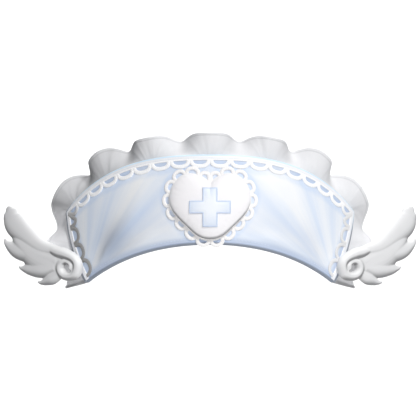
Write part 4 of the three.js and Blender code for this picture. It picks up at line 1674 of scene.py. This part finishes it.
def make_wing(name, side, material, node):
    points, faces, count = [], [], 0
    for rib_points, rib_faces in wing_ribs():
        points.append(rib_points)
        faces += [tuple(count + corner for corner in face) for face in rib_faces]
        count += len(rib_points)
    points = np.concatenate(points) * (side, 1, 1)
    cos, sin = math.cos(side * WING_SWEEP), math.sin(side * WING_SWEEP)
    turned = np.stack([
        points[:, 0] * cos - points[:, 1] * sin,
        points[:, 0] * sin + points[:, 1] * cos,
        points[:, 2],
    ], -1)
    out = LACE_FRONT + WING_STAND_OFF + FEATHER_THICKNESS / 2
    along = side * BAND_RADIUS * math.asin(WING_OFFSET / (BAND_RADIUS + out))
    place = wrap(along, WING_LEVEL, out)
    mesh = mesh_from(name, turned + place, faces)
    outward_faces(mesh)
    wing = new_object(name, mesh)
    remesh = wing.modifiers.new("moulded", "REMESH")
    remesh.mode = "VOXEL"
    remesh.voxel_size = size("wing_grain")
    soften = wing.modifiers.new("soft", "SMOOTH")
    soften.factor = 0.5
    soften.iterations = 6
    wing = evaluated(wing, name)
    spots, normals = np.empty((2, len(wing.data.vertices), 3), dtype=np.float32)
    wing.data.vertices.foreach_get("co", spots.reshape(-1))
    wing.data.vertex_normals.foreach_get("vector", normals.reshape(-1))
    spots = spots - place
    across = side * (spots[:, 0] * cos + spots[:, 1] * sin) - CURL_PLACE[0]
    across, above = across * math.cos(WING_SWEEP), spots[:, 2] - CURL_PLACE[1]
    # Where painted shade and light go on the wing: a ring round the curl, and the way each point
    # faces.
    curl_groove_shade = bell(np.hypot(across, above), CURL_SHADE_REACH, CURL_SHADE_WIDTH)
    curl_groove_shade = curl_groove_shade * bell(np.arctan2(above, across), *CURL_SHADE_TURN)
    facing = side * (normals[:, 0] * cos + normals[:, 1] * sin)
    store(wing.data, "facing", np.stack([facing, curl_groove_shade, normals[:, 2]], -1))
    covered(wing, material, "wing_foam", node)


def make_wings():
    material = wing_foam()
    make_wing("moulded_wing_right", 1, material, "wing_right")
    make_wing("moulded_wing_left", -1, material, "wing_left")


# Stage


CAMERA_PLACE = (0, -1.047, 0.0216)
CAMERA_LENS = 145.3
SENSOR = 36
FLOOR_LEVEL = -0.5
KEY_PLACE = (0.45, -1.215, 0.94)


def add_light(name, place, target, width, watts, shadows=True):
    light = bpy.data.lights.new(name, "AREA")
    light.shape = "DISK"
    light.size = width
    light.energy = watts
    light.use_shadow = shadows
    lamp = bpy.data.objects.new(name, light)
    lamp.location = place
    way = Vector(target) - Vector(place)
    lamp.rotation_euler = way.to_track_quat("-Z", "Y").to_euler()
    bpy.context.scene.collection.objects.link(lamp)


def make_stage():
    scene = bpy.context.scene
    camera = bpy.data.objects.new("camera", bpy.data.cameras.new("camera"))
    camera.location = CAMERA_PLACE
    camera.rotation_euler = (math.pi / 2, 0, 0)
    camera.data.lens = CAMERA_LENS
    camera.data.sensor_width = SENSOR
    camera.data.clip_start = 0.01
    scene.collection.objects.link(camera)
    scene.camera = camera
    scene.view_settings.view_transform = "Standard"
    bend, back, top, half = 0.3, 1.1, 2.4, 2.2
    line = [(-2.6, FLOOR_LEVEL), (-1.2, FLOOR_LEVEL)]
    for angle in np.linspace(0, math.pi / 2, 25):
        line.append((back + bend * math.sin(angle), FLOOR_LEVEL + bend * (1 - math.cos(angle))))
    line.append((back + bend, top))
    points = [(side * half, y, z) for y, z in line for side in (-1, 1)]
    mesh = mesh_from("backdrop", points, grid_faces(len(line), 2))
    mesh.shade_smooth()
    mesh.materials.append(stage_paper())
    new_object("backdrop", mesh)
    world = scene.world or bpy.data.worlds.new("studio")
    scene.world = world
    world.use_nodes = True
    bench = Bench(world.node_tree)
    world.node_tree.nodes.clear()
    glow = bench.add(
        "ShaderNodeBackground", inputs={"Color": (0.95, 0.97, 1.0, 1), "Strength": 0.19}
    )
    bench.add("ShaderNodeOutputWorld", inputs={"Surface": glow})
    add_light("key", KEY_PLACE, (0.0, 0.02, 0.02), 0.3, 12)
    add_light("soft key", KEY_PLACE, (0.0, 0.02, 0.02), 0.3, 9, shadows=False)
    add_light("top", (0.3, 0.1, 1.1), (0.0, 0.03, 0.0), 0.4, 2)
    add_light("backdrop light", (0, 0.75, 1.0), (0, 1.4, 0.1), 0.7, 16)


# Operators and panel


class CAP_OT_stage(bpy.types.Operator):
    """Camera, floor, backdrop and soft studio lights"""

    bl_idname = "cap.stage"
    bl_label = "Stage"

    def execute(self, context):
        make_stage()
        return {"FINISHED"}


class CAP_OT_band(bpy.types.Operator):
    """The folded satin band"""

    bl_idname = "cap.band"
    bl_label = "Satin Band"

    def execute(self, context):
        make_band()
        return {"FINISHED"}


class CAP_OT_rolls(bpy.types.Operator):
    """The piping along the edge, with painted shade at its sides, and the hem roll along the
    bottom rim, coloured in painted shade
    """

    bl_idname = "cap.rolls"
    bl_label = "Piping and Hem"

    def execute(self, context):
        make_rolls()
        return {"FINISHED"}


class CAP_OT_lace(bpy.types.Operator):
    """The loops of lace along the edge and round the heart"""

    bl_idname = "cap.lace"
    bl_label = "Lace"

    def execute(self, context):
        tree = cord_tree()
        make_trim_lace(tree)
        make_heart_lace(tree)
        return {"FINISHED"}


class CAP_OT_ruffle(bpy.types.Operator):
    """The gathered frill behind the band"""

    bl_idname = "cap.ruffle"
    bl_label = "Frill"

    def execute(self, context):
        make_ruffle()
        return {"FINISHED"}


class CAP_OT_heart(bpy.types.Operator):
    """The padded heart"""

    bl_idname = "cap.heart"
    bl_label = "Padded Heart"

    def execute(self, context):
        make_heart()
        return {"FINISHED"}


class CAP_OT_cross(bpy.types.Operator):
    """The satin cross on the heart"""

    bl_idname = "cap.cross"
    bl_label = "Cross"

    def execute(self, context):
        make_cross()
        return {"FINISHED"}


class CAP_OT_wings(bpy.types.Operator):
    """The two moulded wings"""

    bl_idname = "cap.wings"
    bl_label = "Wings"

    def execute(self, context):
        make_wings()
        return {"FINISHED"}


class CAP_OT_stitching(bpy.types.Operator):
    """Seam stitches above the hem and satin stitch round the cross"""

    bl_idname = "cap.stitching"
    bl_label = "Stitching"

    def execute(self, context):
        make_stitching()
        return {"FINISHED"}


OPERATORS = (
    CAP_OT_stage,
    CAP_OT_band,
    CAP_OT_rolls,
    CAP_OT_lace,
    CAP_OT_ruffle,
    CAP_OT_heart,
    CAP_OT_cross,
    CAP_OT_wings,
    CAP_OT_stitching,
)


class CAP_PT_panel(bpy.types.Panel):
    """Lists the cap's pieces, sizes and colours"""

    bl_label = "Winged Nurse Cap"
    bl_space_type = "VIEW_3D"
    bl_region_type = "UI"
    bl_category = "Cap"

    def draw(self, context):
        pieces = self.layout.column(align=True)
        for piece in OPERATORS:
            pieces.operator(piece.bl_idname)
        for group in (context.scene.cap_sizes, context.scene.cap_colours):
            box = self.layout.box()
            for key in group.__annotations__:
                box.prop(group, key)


def register():
    for item in (CapSizes, CapColours, *OPERATORS, CAP_PT_panel):
        bpy.utils.register_class(item)
    bpy.types.Scene.cap_sizes = PointerProperty(type=CapSizes)
    bpy.types.Scene.cap_colours = PointerProperty(type=CapColours)


def unregister():
    del bpy.types.Scene.cap_colours
    del bpy.types.Scene.cap_sizes
    for item in reversed((CapSizes, CapColours, *OPERATORS, CAP_PT_panel)):
        bpy.utils.unregister_class(item)


def main():
    register()
    for piece in OPERATORS:
        name = piece.bl_idname.split(".")[1]
        if getattr(bpy.ops.cap, name)() != {"FINISHED"}:
            raise RuntimeError(f"{piece.bl_label} wasn't made")


if __name__ == "__main__":
    main()
